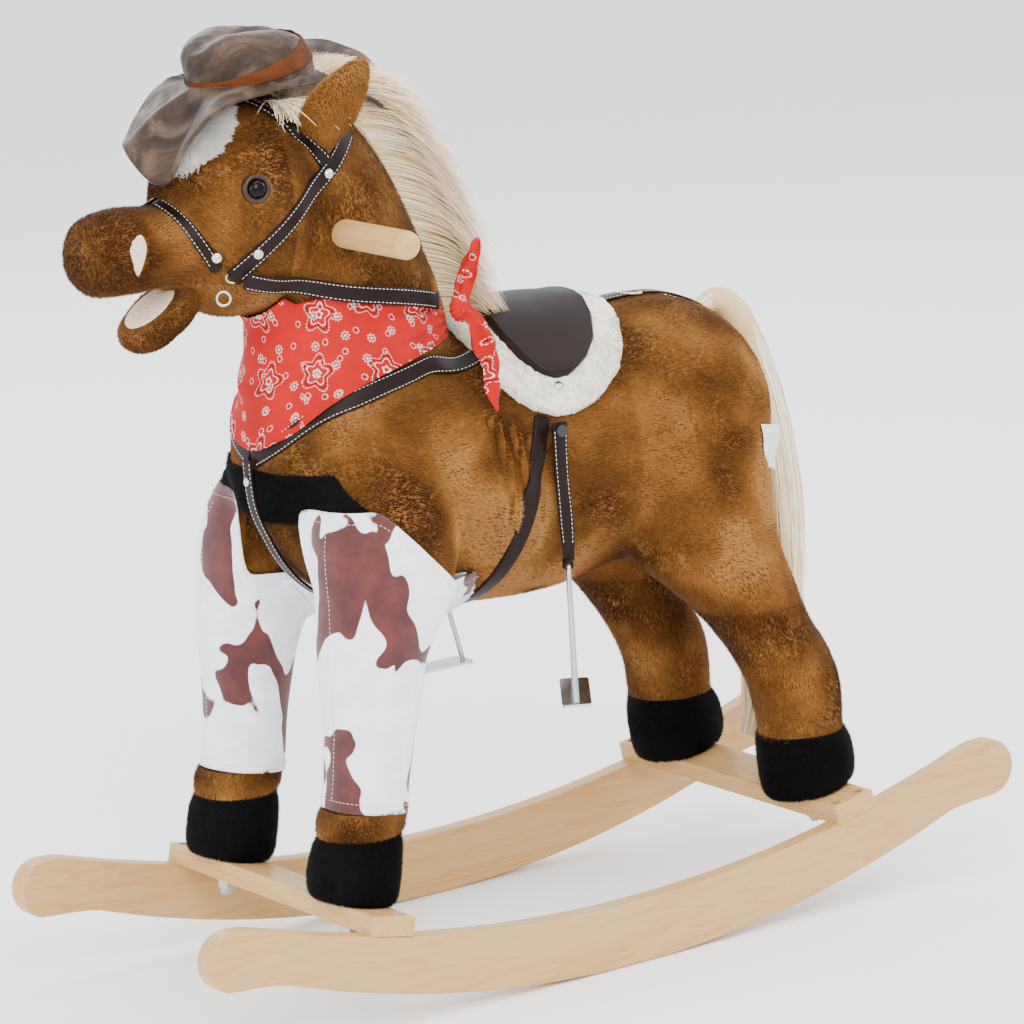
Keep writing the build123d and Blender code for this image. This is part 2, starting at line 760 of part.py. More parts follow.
# ---- Saddle ----
FLEECE_OUTLINE = [
    (50, 505), (54, 462), (46, 436), (14, 414), (-18, 414), (-62, 440), (-88, 470), (-92, 505),
]
SEAT_OUTLINE = [
    (30, 505), (34, 466), (27, 450), (8, 434), (-12, 434), (-44, 452), (-66, 474), (-70, 505),
]
with BuildPart() as saddle_fleece:
    add(torso_form(GAP + 0.2 + FLEECE_THICKNESS))
    add(torso_form(GAP + 0.2), mode=Mode.SUBTRACT)
    add(side_prism(FLEECE_OUTLINE, 8), mode=Mode.INTERSECT)
    add(neck_form(1.5), mode=Mode.SUBTRACT)
save(saddle_fleece, "saddle_fleece")

seat_base = GAP + 0.6 + FLEECE_THICKNESS
with BuildPart() as saddle_seat:
    add(torso_form(seat_base + SEAT_THICKNESS))
    add(torso_form(seat_base), mode=Mode.SUBTRACT)
    add(side_prism(SEAT_OUTLINE, 6), mode=Mode.INTERSECT)
save(saddle_seat, "saddle_seat")

with BuildPart() as girth_strap:
    add(side_strap(leather_layer, (18, 420), (54, 270), 13, (-60, -140, 240), (120, 140, 411)))
    add(block((LEATHER_PIVOT[0], 0, LEATHER_PIVOT[1]), (10, 260, 10)), mode=Mode.SUBTRACT)
save(girth_strap, "girth_strap")

with BuildPart() as crupper_strap:
    add(leather_layer)
    add(block((-145, 0, 460), (104, 11, 60)), mode=Mode.INTERSECT)
save(crupper_strap, "crupper_strap")

# ---- Breast collar, with the strap that drops over the belt and between the forelegs ----
BREAST_STRAP_WIDTH = 12
STRAP_FACE = 11.6
breast_strap = (torso_form(STRAP_FACE) - torso_form(STRAP_FACE - 2)) & block(
    (165, 0, 327), (140, BREAST_STRAP_WIDTH, 156)
)
breast_stub = (torso_form(STRAP_FACE) - torso_form(GAP + 0.1)) & block(
    (222, 0, 403), (44, BREAST_STRAP_WIDTH, 3)
)
with BuildPart() as breast_collar:
    for side in SIDES.values():
        add(leather_layer & collar_slab(side, 0, 13))
    add(breast_strap)
    # the strap turns from the front of the chest to its underside just below the belt
    add(block((225, 0, 355), (6, BREAST_STRAP_WIDTH + 4, 10)), mode=Mode.SUBTRACT)
    add(block((221, 0, 361.2), (9.2, BREAST_STRAP_WIDTH, 2.4)))
    add(breast_stub)
save(breast_collar, "breast_collar")

# ---- Bandana round the neck, above the collar and under the reins ----
REIN = ((244, 541), (76, 508))
with BuildPart() as bandana:
    add(cloth_layer)
    add(side_prism([(74, 474), (74, 503), (232, 534), (262, 500), (240, 380), (190, 380)], 2),
        mode=Mode.INTERSECT)
    for side in SIDES.values():
        add(collar_slab(side, -52, 122, 40), mode=Mode.SUBTRACT)
save(bandana, "bandana")

# ---- Bridle ----
NOSEBAND = ((281, 598), (257, 547))
CHEEK = ((138, 640), (252, 547))
BROWBAND = ((215, 671), (163, 617))


with BuildPart() as bridle:
    add(side_strap(leather_layer, *NOSEBAND, 9, (250, -60, 549), (292, 60, 608)))
    add(side_strap(leather_layer, *CHEEK, 12, (120, -70, 549), (262, 70, 650)))
    add(side_strap(leather_layer, *BROWBAND, 10, (158, -70, 612), (225, 70, 690)))
save(bridle, "bridle")

with BuildPart() as reins:
    add(side_strap(over_layer, *REIN, 13, (78, -90, 490), (243, 90, 552)))
save(reins, "reins")

RING = (257.0, 41.0, 540.0)
with BuildPart() as bridle_hardware:
    for side in SIDES.values():
        ring_at = (RING[0], side * RING[1], RING[2])
        with Locations(Plane(origin=ring_at, x_dir=(1, 0, 0), z_dir=(0.45, side, 0))):
            Torus(8.0, 1.3)
save(bridle_hardware, "bridle_hardware")

# ---- Face: eyes, blaze and nostril patches ----
def head_point(x, z, side, out):
    """Point on the head's surface, pushed out along its normal, with that normal."""
    dx, dz = x - HEAD_CENTRE[0], z - HEAD_CENTRE[2]
    y = side * HEAD_RADIUS * sqrt(1 - (dx / HEAD_RADIUS) ** 2 - (dz / HEAD_HALF_HEIGHT) ** 2)
    normal = Vector(dx / HEAD_RADIUS**2, y / HEAD_RADIUS**2, dz / HEAD_HALF_HEIGHT**2).normalized()
    return Vector(x, y, z) + normal * out, normal


EYE_RADIUS = 11.0
with BuildPart() as eyes:
    for side in SIDES.values():
        spot, normal = head_point(234, 612, side, -4.0)
        with Locations(spot):
            Sphere(EYE_RADIUS)
    add(head_form(GAP), mode=Mode.SUBTRACT)
save(eyes, "eyes")

head_patch_layer = head_form(2.6) - head_form(0.4)
with BuildPart() as blaze:
    add(head_patch_layer)
    add(block((262, 0, 633), (60, 26, 42)), mode=Mode.INTERSECT)
save(blaze, "blaze")

muzzle_patch_layer = muzzle_form(2.2) - muzzle_form(0.4)
with BuildPart() as nostril_patches:
    add(muzzle_patch_layer)
    add(cross_cylinder(322, 578, 9, 60), mode=Mode.INTERSECT)
save(nostril_patches, "nostril_patches")

# ---- Mane and tail ----
with BuildPart() as mane:
    add(lofted([
        ((120, 0, 668), (1, 0, 1), 14, 14), ((92, 0, 640), (0.8, 0, 1), 26, 28),
        ((66, 0, 590), (0, 0, 1), 34, 41), ((44, 0, 535), (0, 0, 1), 34, 36),
        ((28, 0, 498), (0, 0, 1), 30, 30), ((18, 0, 482), (0, 0, 1), 22, 22),
    ]))
    add(neck_form(GAP), mode=Mode.SUBTRACT)
    add(skin_strap, mode=Mode.SUBTRACT)
    add(torso_form(seat_base + SEAT_THICKNESS + GAP), mode=Mode.SUBTRACT)
    for side in SIDES.values():
        add(ear_form(side, GAP), mode=Mode.SUBTRACT)
save(mane, "mane")

with BuildPart() as tail:
    add(lofted([
        ((-206, 0, 462), (-1, 0, 0), 16, 10), ((-232, 0, 452), (-1, 0, -0.8), 24, 20),
        ((-252, 0, 410), (-0.2, 0, -1), 27, 24), ((-256, 0, 330), (0, 0, -1), 26, 23),
        ((-258, 0, 250), (0.1, 0, -1), 24, 21), ((-248, 0, 170), (0.2, 0, -1), 20, 19),
        ((-238, 0, 112), (0.2, 0, -1), 9, 10),
    ]))
    add(torso_form(2.6), mode=Mode.SUBTRACT)
    add(tail_bore(3 + PIN_CLEARANCE), mode=Mode.SUBTRACT)
save(tail, "tail")

with BuildPart() as care_label:
    with BuildSketch(Plane.XZ.offset(-60)):
        with BuildLine():
            Polyline((-208, 352), (-228, 346), (-238, 312), (-206, 334), close=True)
        make_face()
    extrude(amount=1)
save(care_label, "care_label")

# ---- Hat ----
HAT_PLANE = Plane(origin=(198, 0, 668), x_dir=(0.985, 0, -0.17), z_dir=(0.17, 0, 0.985))
HAT_WALL = 3.0
CROWN_BASE = (54.0, 46.0)
CROWN_TOP = (42.0, 36.0)


def crown_form(inset, bottom, top):
    with BuildPart() as form:
        with BuildSketch(HAT_PLANE.offset(bottom)):
            Ellipse(CROWN_BASE[0] - inset, CROWN_BASE[1] - inset)
        with BuildSketch(HAT_PLANE.offset((bottom + top) / 2)):
            Ellipse(CROWN_BASE[0] - 3 - inset, CROWN_BASE[1] - 3 - inset)
        with BuildSketch(HAT_PLANE.offset(top)):
            Ellipse(CROWN_TOP[0] - inset, CROWN_TOP[1] - inset)
        loft()
    return form.part


with BuildPart() as hat_crown:
    add(crown_form(0, 3.2, 46))
    fillet(hat_crown.faces().sort_by(Axis.Z)[-1].edges(), 8)
    add(crown_form(HAT_WALL, 0, 46 - HAT_WALL), mode=Mode.SUBTRACT)
    add(head_form(GAP), mode=Mode.SUBTRACT)
save(hat_crown, "hat_crown")

with BuildPart() as hat_brim:
    with BuildSketch(HAT_PLANE):
        Ellipse(114, 62)
        Ellipse(CROWN_BASE[0] - HAT_WALL, CROWN_BASE[1] - HAT_WALL, mode=Mode.SUBTRACT)
    extrude(amount=HAT_WALL)
    for side in SIDES.values():
        add(ear_form(side, GAP), mode=Mode.SUBTRACT)
    add(mane.part, mode=Mode.SUBTRACT)
    add(skin_strap, mode=Mode.SUBTRACT)
save(hat_brim, "hat_brim")

with BuildPart() as hat_band:
    add(crown_form(-1.6, 3.3, 46) & (crown_form(-6, 3.3, 46) - crown_form(-0.3, 0, 60)))
    with BuildSketch(HAT_PLANE.offset(20)):
        Rectangle(200, 200)
    extrude(amount=60, mode=Mode.SUBTRACT)
save(hat_band, "hat_band")

with BuildPart() as bandana_knot:
    add(lofted([
        ((66, 60, 492), (0, 0, 1), 4, 5), ((68, 62, 500), (0, 0, 1), 8, 9),
        ((70, 62, 510), (0, 0, 1), 4, 5), ((66, 60, 535), (-0.1, 0, 1), 3, 7),
        ((58, 58, 558), (-0.2, 0, 1), 1.5, 3),
    ]))
    add(skin_strap, mode=Mode.SUBTRACT)
save(bandana_knot, "bandana_knot")

# ---- Stirrups: a leather on a pin at each side, and a steel stirrup hanging in its loop ----
STIRRUPS = {
    "left": {"side": 1, "bar_z": 304.0, "turn": 90 - 34.0, "drop": 97.0},
    "right": {"side": -1, "bar_z": 296.0, "turn": 0.0, "drop": 106.0},
}
pivot_x, pivot_z = LEATHER_PIVOT
with BuildPart() as leather_pins:
    for side in SIDES.values():
        with BuildSketch(Plane.XZ.offset(-side * 92)):
            with Locations((pivot_x, pivot_z)):
                Circle(2.5)
        extrude(amount=-side * 10.4)
        with BuildSketch(Plane.XZ.offset(-side * 102.7)):
            with Locations((pivot_x, pivot_z)):
                Circle(4.5)
        extrude(amount=-side * 1.4)
        with BuildSketch(Plane.XZ.offset(-side * 102.3)):
            with Locations((pivot_x, pivot_z)):
                Circle(2.5)
        extrude(amount=-side * 0.5)
save(leather_pins, "leather_pins")

for name, design in STIRRUPS.items():
    side, bar_z, turn = design["side"], design["bar_z"], radians(design["turn"])
    along = Vector(cos(turn), sin(turn), 0)
    across = Vector(-sin(turn), cos(turn), 0)
    bar_centre = Vector(pivot_x, side * LEATHER_Y, bar_z)
    loop_plane = Plane(origin=bar_centre - along * 4, x_dir=across, z_dir=along)
    with BuildPart() as leather:
        with BuildSketch(Plane.XZ.offset(-side * LEATHER_Y)):
            with BuildLine():
                Polyline(
                    (pivot_x - LEATHER_TOP_RADIUS, pivot_z), (pivot_x + LEATHER_TOP_RADIUS, pivot_z),
                    (pivot_x + 4, bar_z + 12), (pivot_x + 3, bar_z + 3),
                    (pivot_x - 3, bar_z + 3), (pivot_x - 4, bar_z + 12),
                    close=True,
                )
            make_face()
            with Locations((pivot_x, pivot_z)):
                Circle(LEATHER_TOP_RADIUS)
                Circle(2.5 + PIN_CLEARANCE, mode=Mode.SUBTRACT)
        extrude(amount=1.2, both=True)
        with BuildSketch(loop_plane):
            Circle(STIRRUP_BAR_RADIUS + PIN_CLEARANCE + 1.6)
        extrude(amount=8)
        with BuildSketch(loop_plane.offset(-2)):
            Circle(STIRRUP_BAR_RADIUS + PIN_CLEARANCE)
        extrude(amount=12, mode=Mode.SUBTRACT)
    save(leather, f"{name}_stirrup_leather")

    half = TREAD_LENGTH / 2
    down = Vector(0, 0, -design["drop"])
    ring_points = [
        bar_centre + along * half + down,
        bar_centre + along * 9,
        bar_centre - along * 9,
        bar_centre - along * half + down,
    ]
    with BuildPart() as stirrup:
        add(tube(ring_points, [6.0, 6.0], STIRRUP_BAR_RADIUS))
        with BuildSketch(Plane(origin=bar_centre + down, x_dir=along, z_dir=(0, 0, 1))) as tread:
            Rectangle(TREAD_LENGTH + 8, TREAD_WIDTH)
            fillet(tread.vertices(), 4)
        extrude(amount=-2.0)
    save(stirrup, f"{name}_stirrup")
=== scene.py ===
"""The looks of the plush rocking horse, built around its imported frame.

Everything is in metres in the frame's own axes: +X to the head, +Y to the horse's left, +Z up.
"""

import math

import bpy
import numpy as np
from mathutils import Matrix, Vector
from mathutils.bvhtree import BVHTree


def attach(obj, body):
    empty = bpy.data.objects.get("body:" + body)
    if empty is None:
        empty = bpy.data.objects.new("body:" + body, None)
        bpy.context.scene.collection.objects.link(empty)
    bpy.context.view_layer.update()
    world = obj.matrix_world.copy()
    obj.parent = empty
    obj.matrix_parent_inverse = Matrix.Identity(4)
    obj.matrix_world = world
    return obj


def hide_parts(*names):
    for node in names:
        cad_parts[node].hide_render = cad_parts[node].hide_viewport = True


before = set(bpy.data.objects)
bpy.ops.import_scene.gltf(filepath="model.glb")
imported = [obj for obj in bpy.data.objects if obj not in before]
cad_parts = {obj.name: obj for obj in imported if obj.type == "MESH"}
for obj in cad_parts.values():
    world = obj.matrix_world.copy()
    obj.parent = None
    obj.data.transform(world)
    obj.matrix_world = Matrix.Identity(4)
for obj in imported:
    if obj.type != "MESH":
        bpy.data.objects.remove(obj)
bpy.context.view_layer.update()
MM = 0.001


# ---- Camera, light and floor ----
CAMERA_PLACE = (2.282, 3.3583, 1.2346)
CAMERA_FORWARD = (-0.54974, -0.80625, -0.21852)
CAMERA_UP = (-0.17335, -0.14579, 0.97401)
CAMERA_LENS = 194.06
CAMERA_SENSOR = 36.0
LIGHT_TARGET = (0.0, 0.0, 0.35)
# place, size and power of each lamp
LIGHTS = {
    "key_light": ((1.2, 2.6, 2.2), 1.6, 82),
    "fill_light": ((2.8, 0.2, 1.3), 1.8, 38),
    "back_light": ((-2.2, 0.6, 1.9), 1.4, 35),
    "far_light": ((-0.6, -2.6, 1.8), 1.6, 30),
    "top_light": ((0.0, 0.2, 3.0), 2.4, 42),
}
SKY_COLOR = (0.95, 0.97, 1.0, 1)
SKY_STRENGTH = 1.9
FLOOR_REACH = 14.0


def add_camera():
    """The camera stands in front of the horse's left shoulder, rolled as far as the horse leans."""
    camera = bpy.data.objects.new("camera", bpy.data.cameras.new("camera"))
    bpy.context.collection.objects.link(camera)
    camera.data.lens = CAMERA_LENS
    camera.data.sensor_width = CAMERA_SENSOR
    forward = Vector(CAMERA_FORWARD).normalized()
    up = Vector(CAMERA_UP)
    right = forward.cross(up).normalized()
    up = right.cross(forward)
    place = Matrix((right, up, -forward)).transposed().to_4x4()
    place.translation = Vector(CAMERA_PLACE)
    camera.matrix_world = place
    bpy.context.scene.camera = camera


def add_area_light(name, place, target, size, power):
    light = bpy.data.objects.new(name, bpy.data.lights.new(name, "AREA"))
    bpy.context.collection.objects.link(light)
    light.data.size = size
    light.data.energy = power
    light.location = place
    light.rotation_euler = (Vector(target) - Vector(place)).to_track_quat("-Z", "Y").to_euler()


def add_studio():
    for name, (place, size, power) in LIGHTS.items():
        add_area_light(name, place, LIGHT_TARGET, size, power)
    world = bpy.data.worlds.new("studio")
    world.use_nodes = True
    sky = world.node_tree.nodes["Background"]
    sky.inputs["Color"].default_value = SKY_COLOR
    sky.inputs["Strength"].default_value = SKY_STRENGTH
    bpy.context.scene.world = world
    mesh = bpy.data.meshes.new("floor")
    corners = [(x * FLOOR_REACH, y * FLOOR_REACH, 0) for x,
               y in ((-1, -1), (1, -1), (1, 1), (-1, 1))]
    mesh.from_pydata(corners, [], [(0, 1, 2, 3)])
    floor = bpy.data.objects.new("floor", mesh)
    bpy.context.collection.objects.link(floor)
    mesh.materials.append(plain_material("floor_white", (0.97, 0.97, 0.97), 0.95))


# ---- Materials ----
def srgb(code):
    """Linear colour from a six-digit colour code."""
    values = [int(code[i:i + 2], 16) / 255 for i in (0, 2, 4)]
    return tuple(v / 12.92 if v <= 0.04045 else ((v + 0.055) / 1.055) ** 2.4 for v in values)


def plain_material(name, color, roughness, **inputs):
    """A Principled material whose sockets hold plain values; its colour is a code or linear."""
    color = srgb(color) if isinstance(color, str) else color
    material = bpy.data.materials.new(name)
    material.use_nodes = True
    shader = material.node_tree.nodes["Principled BSDF"]
    shader.inputs["Base Color"].default_value = (*color, 1)
    shader.inputs["Roughness"].default_value = roughness
    for key, value in inputs.items():
        shader.inputs[key.replace("_", " ")].default_value = value
    return material


class Nodes:
    """Short calls for building a material's node tree."""

    def __init__(self, material):
        self.tree = material.node_tree
        self.shader = self.tree.nodes["Principled BSDF"]
        self.coords = self.tree.nodes.new("ShaderNodeTexCoord").outputs["Object"]

    def link(self, source, target):
        if isinstance(source, (int, float)):
            target.default_value = source
        elif isinstance(source, tuple):
            whole = len(source) == len(target.default_value)
            target.default_value = source if whole else (*source, 1)
        else:
            self.tree.links.new(source, target)

    def add(self, kind, output, settings=(), **inputs):
        node = self.tree.nodes.new("ShaderNode" + kind)
        for key, value in dict(settings).items():
            setattr(node, key, value)
        for key, value in inputs.items():
            numbered = key[0] == "i" and key[1:].isdigit()
            self.link(value, node.inputs[int(key[1:]) if numbered else key])
        return node.outputs[output]

    def math(self, operation, *values, clamp=False):
        node = self.tree.nodes.new("ShaderNodeMath")
        node.operation = operation
        node.use_clamp = clamp
        for socket, value in zip(node.inputs, values):
            self.link(value, socket)
        return node.outputs[0]

    def weigh(self, first, share, second, other):
        """Sum of two values, each times its weight."""
        return self.math("ADD", self.math("MULTIPLY", first, share),
                         self.math("MULTIPLY", second, other))

    def noise(self, scale, detail=3.0, coords=None, distortion=0.0, roughness=0.55):
        return self.add("TexNoise", "Fac", Vector=coords or self.coords, Scale=scale, Detail=detail,
                        Roughness=roughness, Distortion=distortion)

    def stretch(self, scale, rotation=(0, 0, 0), coords=None):
        return self.add("Mapping", "Vector", Vector=coords or self.coords, Scale=scale,
                        Rotation=rotation)

    def ramp(self, factor, stops, smooth=False):
        node = self.tree.nodes.new("ShaderNodeValToRGB")
        ramp = node.color_ramp
        ramp.interpolation = "EASE" if smooth else "LINEAR"
        while len(ramp.elements) < len(stops):
            ramp.elements.new(0.5)
        for element, (position, color) in zip(ramp.elements, stops):
            element.position = position
            color = srgb(color) if isinstance(color, str) else color
            element.color = (*color, 1) if isinstance(color, tuple) else (color, color, color, 1)
        self.link(factor, node.inputs["Fac"])
        return node.outputs["Color"]

    def mix(self, factor, first, second, blend="MIX"):
        node = self.tree.nodes.new("ShaderNodeMix")
        node.data_type = "RGBA"
        node.blend_type = blend
        self.link(factor, node.inputs[0])
        self.link(first, node.inputs[6])
        self.link(second, node.inputs[7])
        return node.outputs[2]

    def color(self, value):
        self.link(value, self.shader.inputs["Base Color"])

    def rough(self, value):
        self.link(value, self.shader.inputs["Roughness"])

    def bump(self, height, strength, distance):
        normal = self.add("Bump", "Normal", Height=height, Strength=strength, Distance=distance)
        self.link(normal, self.shader.inputs["Normal"])


PLUSH_SHADES = ("361D08", "482A0D", "5B3815", "70471F", "85582B", "996A3A")


def plush_skin_material(name, shades, scale=26.0, sheen=0.04):
    """Backing of a short pile: broad patches, a painted sheen of pile lying different ways, over a
    fine nap.
    """
    material = plain_material(name, shades[2], 0.95, Sheen_Weight=sheen, Sheen_Roughness=0.4,
                              Specular_IOR_Level=0.08)
    n = Nodes(material)
    # Broad lighter and darker patches: painted sheen of pile lying different ways.
    patches = n.noise(scale, 4.0, distortion=0.6)
    nap = n.noise(900.0, 2.0)
    tone = n.weigh(patches, 0.8, nap, 0.25)
    n.color(n.ramp(tone, [(0.34, shades[1]), (0.52, shades[2]), (0.70, shades[-2])]))
    n.bump(nap, 0.5, 0.0008)
    return material


def shade_materials(name, shades, roughness=0.85, sheen=0.04):
    """Plain materials, one for each shade that a pile's or a mane's hairs take."""
    return [plain_material(f"{name}_{i}", code, roughness, Sheen_Weight=sheen, Sheen_Roughness=0.4,
                           Specular_IOR_Level=0.08)
            for i, code in enumerate(shades)]


def wood_material(name, along, offset=(0, 0, 0)):
    """Pale varnished pine, its grain running along one axis."""
    material = plain_material(name, "C99C60", 0.42, Coat_Weight=0.08, Coat_Roughness=0.3,
                              Specular_IOR_Level=0.25)
    n = Nodes(material)
    scale = [9.0, 9.0, 9.0]
    scale[along] = 0.75
    long_coords = n.add("Mapping", "Vector", Vector=n.coords, Scale=tuple(scale), Location=offset)
    flow = n.noise(3.2, 3.0, coords=long_coords, distortion=0.5)
    rings = n.math("FRACT", n.math("MULTIPLY", flow, 9.0))
    line = n.math("POWER", rings, 2.2)
    pores = [60.0, 60.0, 60.0]
    pores[along] = 4.0
    fine = n.noise(14.0, 2.0, coords=n.stretch(tuple(pores)))
    broad = n.noise(2.0, 2.0, coords=long_coords)
    tone = n.weigh(line, 0.20, fine, 0.30)
    tone = n.math("ADD", tone, n.math("MULTIPLY", broad, 0.35))
    n.color(n.ramp(tone, [(0.15, "C8A36E"), (0.5, "BA9057"), (0.85, "9F743F")]))
    n.rough(n.ramp(fine, [(0.3, 0.36), (0.8, 0.52)]))
    n.bump(fine, 0.12, 0.0004)
    return material


# ---- Numbers: noise and curves ----
def value_noise(points, scale, seed=0):
    """Smooth noise from 0 to 1 at an array of points."""
    p = points * scale + 17.3 * (seed + 1)
    cell = np.floor(p).astype(np.int64)
    part = p - cell
    part = part * part * (3 - 2 * part)
    total = np.zeros(len(points))
    for corner in range(8):
        bits = np.array([corner & 1, corner >> 1 & 1, corner >> 2 & 1])
        c = cell + bits
        h = (c[:, 0] * 73856093) ^ (c[:, 1] * 19349663) ^ (c[:, 2] * 83492791) ^ (seed * 2654435)
        h = (h ^ (h >> 13)) * 1274126177
        h = (h ^ (h >> 16)) & 0xFFFFF
        weight = np.prod(np.where(bits, part, 1 - part), axis=1)
        total += weight * h / 0xFFFFF
    return total


def fractal(points, scale, seed=0, octaves=3):
    total, weight = np.zeros(len(points)), 0.0
    for octave in range(octaves):
        share = 0.5 ** octave
        total += share * value_noise(points, scale * 2.03 ** octave, seed + octave)
        weight += share
    return total / weight


def grid_fractal(grid, scale, seed, octaves):
    """The same noise over a grid of points, one value to each."""
    return fractal(grid.reshape(-1, 3), scale, seed, octaves).reshape(grid.shape[:-1])


def spline(points, count):
    """Points at even parameters along a Catmull-Rom curve through the rows of an array."""
    p = np.asarray(points, float)
    p = np.vstack([2 * p[0] - p[1], p, 2 * p[-1] - p[-2]])
    t = np.linspace(0, len(p) - 3 - 1e-9, count)
    i = t.astype(int)
    u = (t - i)[:, None]
    a, b, c, d = p[i], p[i + 1], p[i + 2], p[i + 3]
    return 0.5 * (2 * b + (c - a) * u + (2 * a - 5 * b + 4 * c - d) * u**2
                  + (3 * b - a - 3 * c + d) * u**3)


def run_length(line):
    """Distance along a polyline at each of its points."""
    return np.concatenate([[0], np.cumsum(np.linalg.norm(np.diff(line, axis=0), axis=1))])


def even_spline(points, step):
    """The same curve with its points a given step apart."""
    dense = spline(points, 40 * len(points))
    run = run_length(dense[:, :3])
    count = max(3, int(run[-1] / step) + 1)
    where = np.linspace(0, run[-1], count)
    return np.stack([np.interp(where, run, dense[:, k]) for k in range(dense.shape[1])], axis=1)


def unit(v):
    return v / np.maximum(np.linalg.norm(v, axis=-1, keepdims=True), 1e-12)


# ---- Meshes ----
def mesh_object(name, verts, faces, materials=(), material_index=None, smooth=True):
    """A mesh object from arrays of corners and of faces with the same number of sides."""
    mesh = bpy.data.meshes.new(name)
    verts = np.asarray(verts, np.float32)
    faces = np.asarray(faces, np.int32)
    sides = faces.shape[1]
    mesh.vertices.add(len(verts))
    mesh.vertices.foreach_set("co", verts.ravel())
    mesh.loops.add(faces.size)
    mesh.loops.foreach_set("vertex_index", faces.ravel())
    mesh.polygons.add(len(faces))
    mesh.polygons.foreach_set("loop_start", np.arange(0, faces.size, sides, dtype=np.int32))
    mesh.polygons.foreach_set("use_smooth", np.full(len(faces), smooth))
    for material in materials:
        mesh.materials.append(material)
    if material_index is not None:
        mesh.polygons.foreach_set("material_index", np.asarray(material_index, np.int32))
    mesh.update(calc_edges=True)
    mesh.validate()
    obj = bpy.data.objects.new(name, mesh)
    bpy.context.collection.objects.link(obj)
    return obj


def ring_surface(rings, closed_ends=True):
    """Vertices and quads of a tube through rings of points, its ends drawn in to tiny rings."""
    rings = np.asarray(rings, float)
    if closed_ends:
        ends = []
        for ring, inner in ((rings[0], rings[1]), (rings[-1], rings[-2])):
            middle = ring.mean(axis=0)
            push = middle - inner.mean(axis=0)
            ends.append([middle + (ring - middle) * s + push * k for s,
                         k in ((0.75, 0.25), (0.4, 0.4), (0.02, 0.45))])
        rings = np.concatenate([ends[0][::-1], rings, ends[1]])
    count, around = rings.shape[:2]
    index = np.arange(count * around).reshape(count, around)
    quads = np.stack([index[:-1], np.roll(index[:-1], -1, axis=1), np.roll(index[1:], -1, axis=1),
                      index[1:]], axis=-1)
    return rings.reshape(-1, 3), quads.reshape(-1, 4)


def ellipse_rings(stations, steps=40, around=48, square=2.0):
    """Rings through stations in mm: x, y, z, degrees of lean from +X to +Z, half width, depth."""
    s = spline(stations, steps)
    turn = np.linspace(0, 2 * math.pi, around, endpoint=False)
    c, d = np.cos(turn), np.sin(turn)
    c = np.sign(c) * np.abs(c) ** (2 / square)
    d = np.sign(d) * np.abs(d) ** (2 / square)
    lean = np.radians(s[:, 3])
    depth_axis = np.stack([-np.sin(lean), 0 * lean, np.cos(lean)], axis=1)
    width_axis = np.array([0.0, 1.0, 0.0])
    rings = (s[:, None, :3] + (s[:, 4, None] * c)[:, :, None] * width_axis
             + (s[:, 5, None] * d)[:, :, None] * depth_axis[:, None])
    return rings * MM


def joined(name, shells):
    """One object from several closed shells."""
    verts, faces, start = [], [], 0
    for v, f in shells:
        verts.append(v)
        faces.append(f + start)
        start += len(v)
    return mesh_object(name, np.concatenate(verts), np.concatenate(faces))


def apply_modifiers(obj):
    depsgraph = bpy.context.evaluated_depsgraph_get()
    mesh = bpy.data.meshes.new_from_object(obj.evaluated_get(depsgraph))
    obj.modifiers.clear()
    obj.data = mesh


def remesh(obj, voxel, smooth_steps=6, smooth_factor=0.5):
    """Melt joined shells into one skin and soften it."""
    melt = obj.modifiers.new("melt", "REMESH")
    melt.mode = "VOXEL"
    melt.voxel_size = voxel
    if smooth_steps:
        soften = obj.modifiers.new("soften", "SMOOTH")
        soften.factor = smooth_factor
        soften.iterations = smooth_steps
    apply_modifiers(obj)
    obj.data.polygons.foreach_set("use_smooth", np.ones(len(obj.data.polygons), bool))


def get_points(obj):
    co = np.empty(len(obj.data.vertices) * 3, np.float32)
    obj.data.vertices.foreach_get("co", co)
    return co.reshape(-1, 3).astype(float)


def set_points(obj, points):
    obj.data.vertices.foreach_set("co", np.asarray(points, np.float32).ravel())
    obj.data.update()


def point_normals(obj):
    normals = np.empty(len(obj.data.vertices) * 3, np.float32)
    obj.data.vertices.foreach_get("normal", normals)
    return normals.reshape(-1, 3).astype(float)


def distance_to_line(points, line):
    """Distance from each point to a polyline."""
    best = np.full(len(points), 1e9)
    for a, b in zip(line[:-1], line[1:]):
        run = b - a
        t = np.clip(((points - a) @ run) / max(run @ run, 1e-12), 0, 1)
        best = np.minimum(best, np.linalg.norm(points - a - t[:, None] * run, axis=1))
    return best


# ---- The stuffed body ----
TORSO = [
    (-222, 0, 386, 0, 28, 25), (-208, 0, 381, 0, 62, 56), (-188, 0, 376, 0, 83, 80),
    (-145, 0, 372, 0, 102, 100), (-80, 0, 373, 0, 98, 98), (-10, 0, 370, 0, 96, 106),
    (60, 0, 373, 0, 94, 104), (130, 0, 378, 0, 91, 99), (185, 0, 392, 0, 74, 78),
    (214, 0, 400, 0, 34, 36),
]
NECK = [
    (135, 0, 430, 90, 69, 80), (129, 0, 480, 90, 62, 78), (135, 0, 530, 90, 57, 72),
    (150, 0, 590, 90, 53, 62), (165, 0, 640, 90, 40, 45), (172, 0, 662, 90, 20, 22),
]
MUZZLE = [
    (250, 0, 574, 0, 33, 29), (285, 0, 572, 0, 35, 29), (318, 0, 573, 0, 37, 31),
    (342, 0, 571, 0, 32, 28), (353, 0, 570, 0, 19, 17),
]
FRONT_LEG = [
    (200, 84, 120, 90, 27, 27), (187, 84, 208, 90, 29, 29), (178, 83, 260, 90, 34, 37),
    (162, 80, 304, 90, 40, 50), (154, 74, 345, 90, 40, 56), (144, 62, 385, 90, 34, 46),
]
